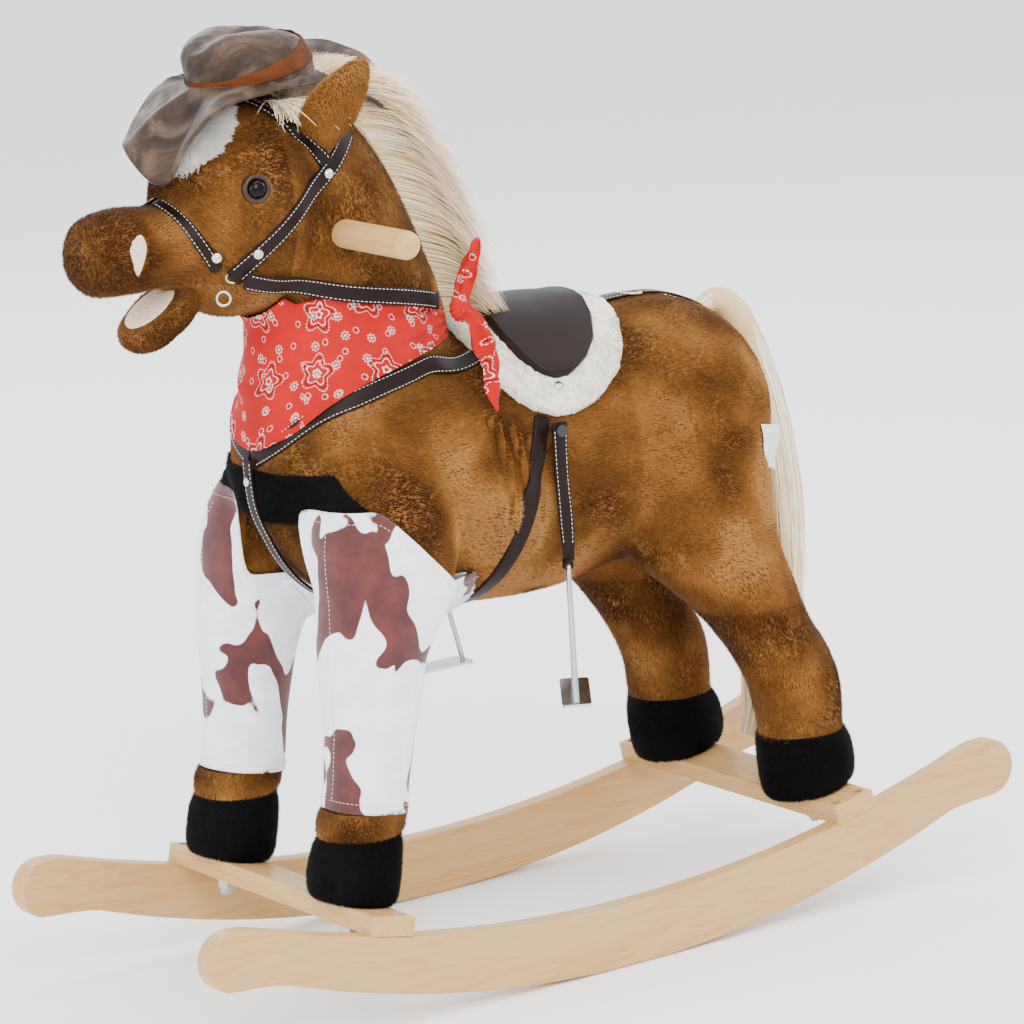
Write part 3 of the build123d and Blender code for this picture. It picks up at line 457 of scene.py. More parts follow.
REAR_LEG = [
    (-207, 84, 118, 90, 31, 32), (-200, 84, 175, 90, 32, 37), (-166, 82, 234, 90, 37, 42),
    (-132, 74, 290, 90, 40, 62), (-135, 62, 345, 90, 42, 62), (-138, 50, 380, 90, 36, 50),
]
EAR = [
    (178, 50, 640, 130, 9, 18), (168, 53, 655, 130, 10, 21), (155, 57, 670, 130, 9, 19),
    (144, 60, 684, 130, 7, 13), (137, 62, 693, 130, 4, 6),
]


def ellipsoid(centre, radii, around=48):
    turn = np.linspace(-1, 1, 25) * 0.97 * math.pi / 2
    spin = np.linspace(0, 2 * math.pi, around, endpoint=False)
    rings = np.stack([
        np.outer(np.cos(turn), np.cos(spin)) * radii[0] + centre[0],
        np.outer(np.cos(turn), np.sin(spin)) * radii[1] + centre[1],
        np.repeat(np.sin(turn)[:, None], around, axis=1) * radii[2] + centre[2],
    ], axis=-1)
    return ring_surface(rings * MM)


def mirrored(stations):
    return [(x, -y, z, lean, w, d) for x, y, z, lean, w, d in stations]


def build_body():
    """Torso, neck, head, muzzle, ears and legs as one sewn and stuffed skin."""
    shells = [ring_surface(ellipse_rings(part)) for part in (TORSO, NECK, MUZZLE)]
    shells.append(ellipsoid((218, 0, 592), (62, 62, 80)))
    shells.append(ellipsoid((234, 0, 556), (40, 54, 42)))
    shells.append(ellipsoid((254, 0, 537), (27, 27, 17)))
    for part in (FRONT_LEG, REAR_LEG, EAR):
        shells.append(ring_surface(ellipse_rings(part)))
        shells.append(ring_surface(ellipse_rings(mirrored(part))))
    body = joined("plush_body", shells)
    remesh(body, 0.004, 8)
    return body


# ---- Pile and hair ----
def surface_samples(obj, density, seed, region=None):
    """Random points over a mesh or a region of it, so many per square millimetre, with normals."""
    draw = np.random.default_rng(seed)
    mesh = obj.data
    mesh.calc_loop_triangles()
    tris = np.empty(len(mesh.loop_triangles) * 3, np.int32)
    mesh.loop_triangles.foreach_get("vertices", tris)
    tris = tris.reshape(-1, 3)
    co, normals = get_points(obj), point_normals(obj)
    if region is not None:
        tris = tris[region(co[tris].mean(axis=1))]
    a, b, c = co[tris[:, 0]], co[tris[:, 1]], co[tris[:, 2]]
    area = np.linalg.norm(np.cross(b - a, c - a), axis=1) / 2
    count = int(area.sum() * 1e6 * density)
    pick = draw.choice(len(tris), count, p=area / area.sum())
    u, v = draw.random(count), draw.random(count)
    over = u + v > 1
    u[over], v[over] = 1 - u[over], 1 - v[over]
    w = 1 - u - v
    place = a[pick] * w[:, None] + b[pick] * u[:, None] + c[pick] * v[:, None]
    n = normals[tris[pick]]
    return place, unit(n[:, 0] * w[:, None] + n[:, 1] * u[:, None] + n[:, 2] * v[:, None])


def pick_shades(points, count, seed, scale=17.0, spread=0.06, contrast=0.85, shift=0.0):
    """Shade number for each hair: broad mottling as painted sheen of the pile, a little scatter
    from hair to hair.
    """
    draw = np.random.default_rng(seed)
    # Broad patches of lighter and darker hairs: painted sheen of pile lying different ways.
    broad = fractal(points, scale, seed, 3)
    low, high = np.percentile(broad, [3, 97])
    tone = (broad - low) / (high - low)
    tone = 0.5 + (tone - 0.5) * contrast + shift + draw.normal(0, spread, len(points))
    return np.clip((tone * count).astype(int), 0, count - 1)


def blades(name, roots, normals, flow, length, width, materials, seed, lift=0.6, shades=None):
    """Short pile: one pointed blade to a hair, leaning along the flow of the nap."""
    draw = np.random.default_rng(seed)
    n = len(roots)
    swirl = np.stack([fractal(roots, 34.0, seed + 11 + k, 2) for k in range(3)], axis=1) - 0.5
    lean = flow + 1.6 * swirl + draw.normal(0, 0.17, (n, 3))
    lean -= normals * np.sum(lean * normals, axis=1, keepdims=True)
    lean = unit(lean)
    lift = lift + draw.normal(0, 0.10, n)[:, None]
    along = unit(lean + normals * lift)
    side = unit(np.cross(along, normals))
    long = length * draw.uniform(0.65, 1.15, n)[:, None]
    half = width / 2
    start = roots - normals * 0.0006
    verts = np.stack([start - side * half, start + side * half, start + along * long],
                     axis=1).reshape(-1, 3)
    faces = np.arange(3 * n).reshape(-1, 3)
    if shades is None:
        shades = pick_shades(roots, len(materials), seed)
    return mesh_object(name, verts, faces, materials, shades)


def ribbons(name, paths, width, materials, shades, facing, taper=0.35):
    """Long hairs: a flat ribbon along each path, narrowing to its tip."""
    count, steps = paths.shape[:2]
    tangent = unit(np.gradient(paths, axis=1))
    side = unit(np.cross(tangent, facing))
    t = np.linspace(0, 1, steps)
    half = (width / 2 * (1 - (1 - taper) * t**2))[None, :, None]
    left, right = paths - side * half, paths + side * half
    verts = np.stack([left, right], axis=2).reshape(-1, 3)
    base = (np.arange(count)[:, None] * steps + np.arange(steps - 1)[None, :]).ravel() * 2
    faces = np.stack([base, base + 1, base + 3, base + 2], axis=1)
    return mesh_object(name, verts, faces, materials, np.repeat(shades, steps - 1))


def clear_of(tree, roots, normals, reach):
    """True for each root that has no cloth, strap or hat over it within reach."""
    keep = np.ones(len(roots), bool)
    for i, (place, normal) in enumerate(zip(roots, normals)):
        keep[i] = tree.ray_cast(Vector(place - normal * 0.001), Vector(normal), reach)[0] is None
    return keep


def bare_roots(obj, density, seed, covers, reach, region=None):
    """Places for a pile's hairs over a skin, except where something lies on it."""
    roots, normals = surface_samples(obj, density, seed, region)
    keep = clear_of(covers, roots, normals, reach)
    return roots[keep], normals[keep]


def tree_of(objects):
    """One search tree over several meshes."""
    verts, faces, start = [], [], 0
    for obj in objects:
        verts.extend(v.co.copy() for v in obj.data.vertices)
        faces.extend([i + start for i in p.vertices] for p in obj.data.polygons)
        start += len(obj.data.vertices)
    return BVHTree.FromPolygons(verts, faces)


def snap(tree, points):
    """Nearest places on a surface, with its normals."""
    places, normals = [], []
    for point in points:
        place, normal, _, _ = tree.find_nearest(Vector(point))
        places.append(place)
        normals.append(normal)
    return np.array(places), np.array(normals)


def soften(values, rounds):
    """Average the rows of an array with their neighbours, its two ends held."""
    values = values.copy()
    for _ in range(rounds):
        values[1:-1] = (values[:-2] + 2 * values[1:-1] + values[2:]) / 4
    return values


def soften_grid(grid, rounds, hold=True):
    """Average a grid of points with their neighbours, its edges held."""
    grid = grid.copy()
    for _ in range(rounds):
        grid[1:-1, 1:-1] = (grid[:-2, 1:-1] + grid[2:, 1:-1] + grid[1:-1, :-2] + grid[1:-1, 2:]) / 4
        if not hold:
            grid[1:-1, 0] = (grid[:-2, 0] + grid[2:, 0]) / 2
            grid[1:-1, -1] = (grid[:-2, -1] + grid[2:, -1]) / 2
    return grid


def grid_normals(grid):
    du = np.gradient(grid, axis=0)
    dv = np.gradient(grid, axis=1)
    return unit(np.cross(du, dv))


def grid_shell(name, outer, inner, materials, cyclic=False):
    """A closed shell between two grids of points."""
    rows, cols = outer.shape[:2]
    top = np.arange(rows * cols).reshape(rows, cols)
    low = top + rows * cols
    if cyclic:
        top, low = np.column_stack([top, top[:, 0]]), np.column_stack([low, low[:, 0]])

    def quads(a):
        return np.stack([a[:-1, :-1], a[1:, :-1], a[1:, 1:], a[:-1, 1:]], axis=-1).reshape(-1, 4)

    faces = [quads(top), quads(low)[:, ::-1]]
    for a, b in ((top[0], low[0]), (low[-1], top[-1])):
        faces.append(np.stack([a[:-1], a[1:], b[1:], b[:-1]], axis=-1))
    if not cyclic:
        for a, b in ((low[:, 0], top[:, 0]), (top[:, -1], low[:, -1])):
            faces.append(np.stack([a[:-1], a[1:], b[1:], b[:-1]], axis=-1))
    verts = np.concatenate([outer.reshape(-1, 3), inner.reshape(-1, 3)])
    return mesh_object(name, verts, np.concatenate(faces), materials)


def add_point_attribute(obj, name, values):
    """A vector stored at each vertex, for a material to read."""
    layer = obj.data.attributes.new(name, "FLOAT_VECTOR", "POINT")
    layer.data.foreach_set("vector", np.asarray(values, np.float32).ravel())


def place_piece(obj, body, slot, *nodes):
    """Fasten a piece to a body and hide the CAD nodes that it stands for; its finish, slot, is not
    used.
    """
    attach(obj, body)
    if nodes:
        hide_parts(*nodes)
    return obj


def lathe(profile, place, axis, around=28, start=(0.3, 0.5, 0.81)):
    """Closed surface turned about an axis from (radius, height) pairs, in metres."""
    axis = unit(np.asarray(axis, float))
    across = unit(np.cross(axis, start))
    third = np.cross(axis, across)
    turn = np.linspace(0, 2 * math.pi, around, endpoint=False)
    circle = np.cos(turn)[:, None] * across + np.sin(turn)[:, None] * third
    rings = np.array([place + r * circle + h * axis for r, h in profile])
    return ring_surface(rings, closed_ends=False)


def torus(place, axis, radius, wire, around=36, stretch=1.0):
    axis = unit(np.asarray(axis, float))
    across = unit(np.cross(axis, (0.02, 0.1, 1)))
    third = np.cross(axis, across)
    turn = np.linspace(0, 2 * math.pi, around + 1)
    small = np.linspace(0, 2 * math.pi, 12, endpoint=False)
    rings = []
    for t in turn:
        out = math.cos(t) * across * stretch + math.sin(t) * third
        rings.append(place + radius * out + wire
                     * (np.cos(small)[:, None] * unit(out) + np.sin(small)[:, None] * axis))
    return ring_surface(np.array(rings), closed_ends=False)


# ---- Finishes ----
def vinyl_material(name, color, coat=0.05):
    """Smooth dark vinyl with a fine grain and soft creases."""
    material = plain_material(name, color, 0.42, Coat_Weight=coat, Coat_Roughness=0.35,
                              Specular_IOR_Level=0.10)
    n = Nodes(material)
    grain = n.add("TexVoronoi", "Distance", Vector=n.coords, Scale=900.0)
    cloud = n.noise(30.0, 3.0)
    dark, light = srgb(color), srgb("1C100E")
    n.color(n.mix(n.math("MULTIPLY", cloud, 0.45), dark, light))
    n.rough(n.ramp(cloud, [(0.3, 0.36), (0.75, 0.52)]))
    n.bump(n.weigh(grain, 0.4, cloud, 1.2), 0.28, 0.0006)
    return material


def thread_material():
    material = plain_material("white_thread", "DAD4CA", 0.7)
    n = Nodes(material)
    twist = n.add("TexWave", "Fac", Vector=n.coords, Scale=700.0, Distortion=1.0)
    n.color(n.ramp(twist, [(0.2, "B9B1A4"), (0.7, "ECE8E0")]))
    return material


def metal_material(name, color, roughness=0.22):
    """Plated metal with faint smears and fine scratches."""
    material = plain_material(name, color, roughness, Metallic=1.0)
    n = Nodes(material)
    smear = n.noise(45.0, 4.0)
    scratch = n.noise(60.0, 2.0, coords=n.stretch((2.0, 2.0, 40.0)))
    tone = n.weigh(smear, 0.6, scratch, 0.4)
    base = srgb(color)
    n.color(n.ramp(tone, [(0.3, tuple(c * 0.72 for c in base)), (0.7, base)]))
    n.rough(n.ramp(tone, [(0.3, roughness * 0.8), (0.75, roughness * 1.7)]))
    n.bump(scratch, 0.05, 0.0002)
    return material


def plastic_material(name, color, roughness=0.5):
    material = plain_material(name, color, roughness)
    n = Nodes(material)
    grain = n.noise(500.0, 2.0)
    base = srgb(color)
    n.color(n.ramp(grain, [(0.3, tuple(c * 0.8 for c in base)),
                           (0.7, tuple(min(1, c * 1.15) for c in base))]))
    n.bump(grain, 0.15, 0.0003)
    return material


def cloth_weave(n, scale=900.0):
    """Height of a plain weave: two crossed sets of threads."""
    warp = n.add("TexWave", "Fac", {"bands_direction": "X"}, Vector=n.coords, Scale=scale,
                 Distortion=0.6)
    weft = n.add("TexWave", "Fac", {"bands_direction": "Z"}, Vector=n.coords, Scale=scale,
                 Distortion=0.6)
    return n.math("MULTIPLY", warp, weft)


def cow_material():
    """White velour with maroon blotches whose edges run like spilt paint."""
    material = plain_material("cow_print", "E4E6EC", 0.88, Sheen_Weight=0.25, Sheen_Roughness=0.5)
    n = Nodes(material)
    stretched = n.stretch((1.0, 1.0, 0.72))
    wander = n.add("TexNoise", "Color", Vector=stretched, Scale=26.0, Detail=1.0)
    pushed = n.add("Mapping", "Vector", Vector=n.mix(0.07, stretched, wander, "ADD"),
                   Scale=(1.0, 1.0, 1.0))
    blotch = n.noise(19.0, 1.4, coords=pushed, roughness=0.4)
    edge = n.ramp(blotch, [(0.552, 0.0), (0.558, 1.0)])
    nap = n.noise(1200.0, 1.0)
    crush = n.noise(60.0, 3.0)
    white = n.ramp(crush, [(0.3, "E0E2E9"), (0.7, "F5F6FA")])
    maroon = n.ramp(crush, [(0.3, "3E1715"), (0.7, "5C2622")])
    n.color(n.mix(edge, white, maroon))
    n.bump(n.math("ADD", nap, n.math("MULTIPLY", crush, 0.8)), 0.25, 0.0005)
    return material


def paisley_material():
    """Red cotton printed with petals, dots and drops, laid out in the cloth's own flat plane."""
    material = plain_material("red_paisley", "C62A24", 0.82, Sheen_Weight=0.02,
                              Specular_IOR_Level=0.12)
    n = Nodes(material)
    flat = n.add("Attribute", "Vector", {"attribute_name": "flat_cloth"})

    def motif(scale, seed, petals, size, jitter=0.55):
        """Radius, petal radius and angle about the nearest motif's centre, in millimetres."""
        coords = n.add("Mapping", "Vector", Vector=flat, Location=(seed, seed * 0.7, 0.0))
        cell = n.tree.nodes.new("ShaderNodeTexVoronoi")
        cell.voronoi_dimensions = "2D"
        n.link(coords, cell.inputs["Vector"])
        cell.inputs["Scale"].default_value = scale
        cell.inputs["Randomness"].default_value = jitter
        local = n.add("VectorMath", "Vector", {"operation": "SUBTRACT"}, i0=coords,
                      i1=cell.outputs["Position"])
        split = n.tree.nodes.new("ShaderNodeSeparateXYZ")
        n.link(local, split.inputs[0])
        radius = n.math("MULTIPLY", n.add("VectorMath", "Value", {"operation": "LENGTH"}, i0=local),
                        1000.0)
        angle = n.math("ARCTAN2", split.outputs[1], split.outputs[0])
        wave = n.math("COSINE", n.math("MULTIPLY", angle, float(petals)))
        scaled = n.math("DIVIDE", radius, n.math("MULTIPLY_ADD", wave, size * 0.22, float(size)))
        return scaled, angle

    def band(value, centre, half):
        """1 inside a thin ring of the value."""
        gap = n.math("ABSOLUTE", n.math("SUBTRACT", value, centre))
        return n.math("LESS_THAN", gap, half)

    def dashes(angle, count):
        return n.math("GREATER_THAN", n.math("SINE", n.math("MULTIPLY", angle, float(count))), -0.3)

    big, big_angle = motif(21.0, 0.0, 5, 11.5, 0.3)
    small, _ = motif(46.0, 0.4, 8, 2.7, 0.8)
    drop, drop_angle = motif(58.0, 0.9, 1, 2.0, 0.9)
    white = n.math("MULTIPLY", band(big, 1.0, 0.035), dashes(big_angle, 46))
    for mark in (band(big, 0.62, 0.032), band(big, 0.2, 0.05), band(small, 0.95, 0.13),
                 n.math("LESS_THAN", small, 0.35),
                 n.math("MULTIPLY", band(drop, 1.0, 0.18), dashes(drop_angle, 9))):
        white = n.math("MAXIMUM", white, mark)
    black = n.math("MAXIMUM", band(big, 0.8, 0.035), band(small, 0.62, 0.09))
    black = n.math("MAXIMUM", black, n.math("LESS_THAN", drop, 0.28))
    fade = n.noise(20.0, 3.0)
    red = n.ramp(fade, [(0.3, "9A0F0D"), (0.7, "B51713")])
    shade = n.mix(n.math("MULTIPLY", white, 0.72), red, srgb("F0DCD6"))
    n.color(n.mix(n.math("MULTIPLY", black, 0.8), shade, srgb("2A1416")))
    n.bump(n.math("ADD", cloth_weave(n), n.math("MULTIPLY", fade, 0.6)), 0.3, 0.0004)
    return material


def velour_material(name, dark, mid, light):
    """Satin velour: soft sheen over broad, cloudy folds, painted dark in their hollows and light on
    their crests.
    """
    material = plain_material(name, mid, 0.5, Sheen_Weight=0.12, Sheen_Roughness=0.3,
                              Specular_IOR_Level=0.15)
    n = Nodes(material)
    cloud = n.noise(24.0, 4.0, distortion=1.2)
    nap = n.noise(900.0, 2.0)
    # Colour runs from the dark tone in the fold hollows to the light tone on their crests, the same
    # cloud as the bump: painted shade and painted sheen.
    n.color(n.ramp(n.math("ADD", cloud, n.math("MULTIPLY", nap, 0.12)),
                   [(0.38, dark), (0.56, mid), (0.74, light)]))
    n.rough(n.ramp(cloud, [(0.3, 0.58), (0.7, 0.42)]))
    n.bump(n.math("ADD", nap, n.math("MULTIPLY", cloud, 3.0)), 0.22, 0.0008)
    return material


def ribbon_material():
    material = plain_material("rust_ribbon", "5E2F10", 0.6, Specular_IOR_Level=0.1)
    n = Nodes(material)
    ribs = n.add("TexWave", "Fac", {"bands_direction": "DIAGONAL"}, Vector=n.coords, Scale=420.0,
                 Distortion=0.4)
    cloud = n.noise(30.0, 2.0)
    # Colour between a shaded and a sunlit tone of the ribbon, spread by a broad cloud and a little
    # lighter on the ribs' crests: painted shade and painted light.
    n.color(n.ramp(n.weigh(ribs, 0.25, cloud, 0.8),
                   [(0.3, "341809"), (0.7, "5C2D0F")]))
    n.bump(ribs, 0.4, 0.0004)
    return material


def tufted_material(name, dark, light, scale=240.0):
    """Curled fleece or a brushed cloth, painted darker between the curls (painted shade)."""
    material = plain_material(name, light, 0.95, Sheen_Weight=0.08, Specular_IOR_Level=0.1)
    n = Nodes(material)
    curl = n.add("TexVoronoi", "Distance", Vector=n.coords, Scale=scale)
    cloud = n.noise(40.0, 3.0)
    # Colour darkens away from each curl's centre, where the bump sinks: painted shade between the
    # curls.
    n.color(n.ramp(n.weigh(curl, 0.8, cloud, 0.4),
                   [(0.25, light), (0.85, dark)]))
    n.bump(n.math("MULTIPLY", curl, -1.0), 0.5, 0.0015)
    return material


def polished_material(name, color, roughness, specular, grain, detail, dark, light):
    """Hard gloss with a faint cloud between two near shades."""
    material = plain_material(name, color, roughness, Specular_IOR_Level=specular)
    n = Nodes(material)
    n.color(n.ramp(n.noise(grain, detail), [(0.3, dark), (0.7, light)]))
    return material


def eye_material():
    return polished_material("eye_gloss", "030303", 0.06, 0.14, 120.0, 2.0, "030304", "0B0908")


def ring_material():
    return polished_material("eye_ring", "2E1C11", 0.35, 0.3, 200.0, 3.0, "20130B", "3A2617")


# ---- Straps ----
def strap(name, route, tree, width, thickness, lift, material):
    """Flat strap along a route in mm, laid on a surface; returns it with its line and axes."""
    path = even_spline(np.asarray(route, float) * MM, 0.0025)
    place, normals = snap(tree, path)
    normals = unit(soften(normals, 30))
    place = soften(place, 24) + normals * lift * MM
    return strap_along(name, place, normals, width, thickness, material)


def swept(place, across, normals, section, width, thickness):
    """A section carried along a line, its width and thickness in mm."""
    return ring_surface(place[:, None] + across[:, None] * section[None, :, :1] * width * MM
                        + normals[:, None] * section[None, :, 1:] * thickness * MM)


def strap_along(name, place, normals, width, thickness, material):
    tangent = unit(np.gradient(place, axis=0))
    across = unit(np.cross(tangent, normals))
    normals = unit(np.cross(across, tangent))
    section = np.array([(-0.5, 0), (-0.5, 0.6), (-0.47, 0.92), (-0.40, 1), (-0.2, 1.02), (0, 1.04),
                        (0.2, 1.02),
                        (0.40, 1), (0.47, 0.92), (0.5, 0.6), (0.5, 0)])
    verts, faces = swept(place, across, normals, section, width, thickness)
    obj = mesh_object(name, verts, faces, [material])
    return obj, (place + normals * thickness * MM, across, normals, tangent)


STITCH_PITCH = 3.3
STITCH_LENGTH = 2.2


def stitch_shells(line, width, inset=1.6, thread=0.55, rows=(-1, 1)):
    """Raised threads along a strap's edges."""
    place, across, normals, tangent = line
    run = run_length(place) / MM
    centres = np.arange(STITCH_PITCH, run[-1] - STITCH_PITCH, STITCH_PITCH)
    shells = []
    for row in rows:
        edge = place + across * row * (width / 2 - inset) * MM
        for centre in centres:
            mid = np.array([np.interp(centre, run, edge[:, k]) for k in range(3)])
            i = min(int(np.searchsorted(run, centre)), len(run) - 1)
            shells.append(thread_shell(mid, tangent[i], across[i], normals[i], STITCH_LENGTH,
                                       thread))
    return shells


def thread_shell(mid, along, across, up, length, thread):
    """One stitch: a short six-sided bead, sunk at its ends."""
    turn = np.linspace(0, 2 * math.pi, 6, endpoint=False)
    rings = []
    for t, r, sink in ((-0.5, 0.35, 0.4), (-0.3, 0.9, 0.05), (0, 1.0, 0.0), (0.3, 0.9, 0.05),
                       (0.5, 0.35, 0.4)):
        centre = mid + along * t * length * MM - up * sink * thread * 0.5 * MM
        rings.append(centre + (np.cos(turn)[:, None] * across + np.sin(turn)[:, None] * up)
                     * thread / 2 * r * MM)
    return ring_surface(np.array(rings), closed_ends=False)


def shells_object(name, shells, material):
    obj = joined(name, shells)
    obj.data.materials.append(material)
    return obj


def rivet_shell(place, normal, radius):
    """Domed cap with a rolled rim."""
    r = radius * MM
    profile = [(0.01 * r, -0.3 * r), (r, -0.3 * r), (r * 1.02, 0.05 * r), (r * 0.94, 0.2 * r),
               (r * 0.8, 0.18 * r),
               (r * 0.72, 0.2 * r), (r * 0.5, 0.38 * r), (r * 0.25, 0.46 * r), (0.01 * r, 0.48 * r)]
    return lathe(profile, np.asarray(place), normal)


# ---- Saddle ----
TORSO_LINE = spline(TORSO, 400)


def torso_at(x, theta, out=0.0):
    """Point of the torso's form at a station, turned by theta from the top to the left; in mm."""
    _, _, zc, _, hy, hz = [np.interp(x, TORSO_LINE[:, 0], TORSO_LINE[:, k]) for k in range(6)]
    normal = unit(np.stack([0 * theta, np.sin(theta) / hy, np.cos(theta) / hz], axis=-1))
    base = np.stack([x, hy * np.sin(theta), zc + hz * np.cos(theta)], axis=-1)
    return base + normal * np.asarray(out)[..., None]


def saddle_patch(name, front, rear, reach, base, height, roll, rows, cols, material, relief=None):
    """Pad over the back between two edges of (angle, x), reaching the same angle at each side."""
    theta = np.radians(np.linspace(-reach, reach, rows))
    angle = np.degrees(np.abs(theta))
    x_front = np.interp(angle, *np.array(front).T)
    x_rear = np.interp(angle, *np.array(rear).T)
    u = np.linspace(0, 1, cols)
    x = x_rear[:, None] + (x_front - x_rear)[:, None] * u
    t = np.repeat(theta[:, None], cols, axis=1)
    to_side = np.minimum(u, 1 - u)[None, :] * (x_front - x_rear)[:, None]
    to_end = (np.radians(reach) - np.abs(t)) * 100.0
    edge = np.clip(np.minimum(to_side, to_end) / roll, 0, 1)
    profile = np.sqrt(np.clip(1 - (1 - edge) ** 2, 0, 1))
    outer = torso_at(x, t, base + 0.6 + height * profile)
    if relief is not None:
        outer = outer + grid_normals(outer) * (relief(outer, edge) * profile)[..., None]
    inner = torso_at(x, t, np.full_like(x, base))
    return grid_shell(name, outer * MM, inner * MM, [material])


def fleece_relief(points, edge):
    """Curls: round lumps of two sizes."""
    flat = points.reshape(-1, 3) * MM
    lumps = 1.7 * (fractal(flat, 210.0, 5, 2) - 0.5) * 2 + 1.5 * (fractal(flat, 95.0, 9, 2)
                                                                  - 0.5) * 2
    return lumps.reshape(edge.shape)


def seat_relief(points, edge):
    """Slack folds in the seat's cover and the groove of its edge seam."""
    flat = points.reshape(-1, 3) * MM
    folds = 1.6 * (fractal(flat * (1.0, 1.0, 0.4), 26.0, 21, 2) - 0.5)
    groove = -1.1 * np.exp(-((edge - 0.55) / 0.10) ** 2)
    return folds.reshape(edge.shape) + groove


def build_saddle():
    fleece = saddle_patch(
        "saddle_fleece_pad",
        [(0, 50), (20, 53), (40, 52), (50, 47), (58, 37), (63, 25), (66.5, 8)],
        [(0, -92), (12, -90), (28, -82), (42, -70), (52, -56), (60, -38), (64, -24), (66.5, -8)],
        66.5, 1.0, 9.5, 8.0, 260, 120, tufted_material("cream_fleece", "D5CCB6", "F6F1E4"),
        fleece_relief)
    place_piece(fleece, "horse", "cream_fleece", "saddle_fleece")
    seat = saddle_patch(
        "saddle_seat_pad",
        [(0, 26), (18, 30), (32, 32), (42, 27), (49, 19), (53, 6)],
        [(0, -70), (14, -67), (26, -58), (38, -45), (46, -30), (50, -18), (53, -6)],
        53, 10.6, 5.0, 6.0, 200, 90, vinyl_material("seat_vinyl", "19100E", 0.04), seat_relief)
    place_piece(seat, "horse", "brown_vinyl", "saddle_seat")
    return fleece, seat


def fleece_fur(fleece, seat):
    """Loose fibres that stand off the curls of the fleece."""
    roots, normals = bare_roots(fleece, 1.1, 37, tree_of([seat]), 0.008)
    materials = shade_materials("fleece_fibre", ("ECE6D6", "F4EFE2", "FBF8F0"))
    curl = np.zeros((len(roots), 3))
    fur = blades("fleece_fibres", roots, normals, curl, 0.0034, 0.0009, materials, 37, lift=0.8)
    place_piece(fur, "horse", "cream_fleece")


# ---- Chaps and their belt ----
LEG_LINE = spline(FRONT_LEG, 200)


CHAP_HEM = 152
CHAP_ELBOW = 306
CHAP_TOP = 372
STIRRUP_REAR_SWING = (142, 98, 259)
STIRRUP_ROOM = 16


def build_chap(side, name, tree, material):
    """Cloth tube round a foreleg; its top slants down from the belt to the elbow."""
    rows, cols = 90, 120
    phi = np.linspace(0, 2 * math.pi, cols, endpoint=False)
    outer = np.zeros((rows, cols, 3))
    for j, angle in enumerate(phi):
        way = Vector((math.cos(angle), math.sin(angle), 0))
        slope = CHAP_ELBOW + 68 * np.clip((math.cos(angle) * 58 + 52) / 92, 0, 1)
        top = min(slope, CHAP_TOP if math.sin(angle) * side > -0.5 else CHAP_ELBOW)
        low = CHAP_HEM + 5 * math.cos(angle)
        for i, z in enumerate(np.linspace(low, top, rows)):
            x, y = (np.interp(z, LEG_LINE[:, 2], LEG_LINE[:, k]) for k in (0, 1))
            inward = -side * way.y
            far = min(150.0, (y - 3.0) / inward if inward > 0.05 else 150.0)
            axis = Vector((x, side * y, z)) * MM
            hit, _, _, _ = tree.ray_cast(axis + way * far * MM, -way, far * MM)
            outer[i, j] = hit if hit is not None else axis + way * 30 * MM
    for _ in range(6):
        around = (np.roll(outer, 1, axis=1) + np.roll(outer, -1, axis=1)) / 2
        outer[1:-1] = (outer[:-2] + outer[2:] + 2 * around[1:-1]) / 4
        outer[0] = (outer[0] + around[0]) / 2
        outer[-1] = (outer[-1] + around[-1]) / 2
    axis_x, axis_y = (np.interp(outer[..., 2] / MM, LEG_LINE[:, 2], LEG_LINE[:, k]) for k in (0, 1))
    axis_y = axis_y * side
    radial = unit(np.stack([outer[..., 0] - axis_x * MM, outer[..., 1] - axis_y * MM, 0 * axis_x],
                           axis=-1))
    folds = grid_fractal(outer * (1, 1, 0.35), 30.0, 3 + side, 2) - 0.5
    up = np.linspace(0, 1, rows)[:, None]
    flare = 1.5 * np.exp(-up * 9) + 2.0 * np.exp(-(1 - up) * 12)
    ease = 3.6 + 5.0 * folds + flare + 2.0 * np.exp(-((up - 0.55) / 0.3) ** 2)
    hem = 0.5 * np.exp(-((up - 0.035) / 0.012) ** 2) + 0.6 * np.exp(-((up - 0.965) / 0.012) ** 2)
    # The cloth is drawn in where the left stirrup comes nearest at its rear limit.
    # The photo doesn't show this.
    x, y, z = STIRRUP_REAR_SWING
    reach = np.linalg.norm((outer / MM - (x, side * y, z)) / STIRRUP_ROOM, axis=-1)
    ease = np.clip(ease, 2.2, 9) * (1 - 0.85 * np.exp(-(reach**2)))
    outside = outer + radial * (ease + hem)[..., None] * MM
    inside = outside - radial * 1.3 * MM
    chap = grid_shell(name, outside, inside, [material], cyclic=True)
    return chap, outside, radial


def chap_stitches(outside, radial, side):
    """Rows of stitches along both hems and up the front seam."""
    shells = []
    for row in (3, -4):
        ring = np.concatenate([outside[row], outside[row][:1]])
        normals = np.concatenate([radial[row], radial[row][:1]])
        shells += stitches_on(ring, normals)
    column = int(round((0.02 if side > 0 else 0.98) * outside.shape[1]))
    shells += stitches_on(outside[3:-4, column], radial[3:-4, column])
    return shells


def stitches_on(line, normals):
    run = run_length(line) / MM
    tangent = unit(np.gradient(line, axis=0))
    shells = []
    for centre in np.arange(2, run[-1] - 2, STITCH_PITCH):
        mid = np.array([np.interp(centre, run, line[:, k]) for k in range(3)])
        i = min(int(np.searchsorted(run, centre)), len(run) - 1)
        across = unit(np.cross(tangent[i], normals[i]))
        shells.append(thread_shell(mid + normals[i] * 0.1 * MM, tangent[i], across, normals[i], 2.1,
                                   0.5))
    return shells


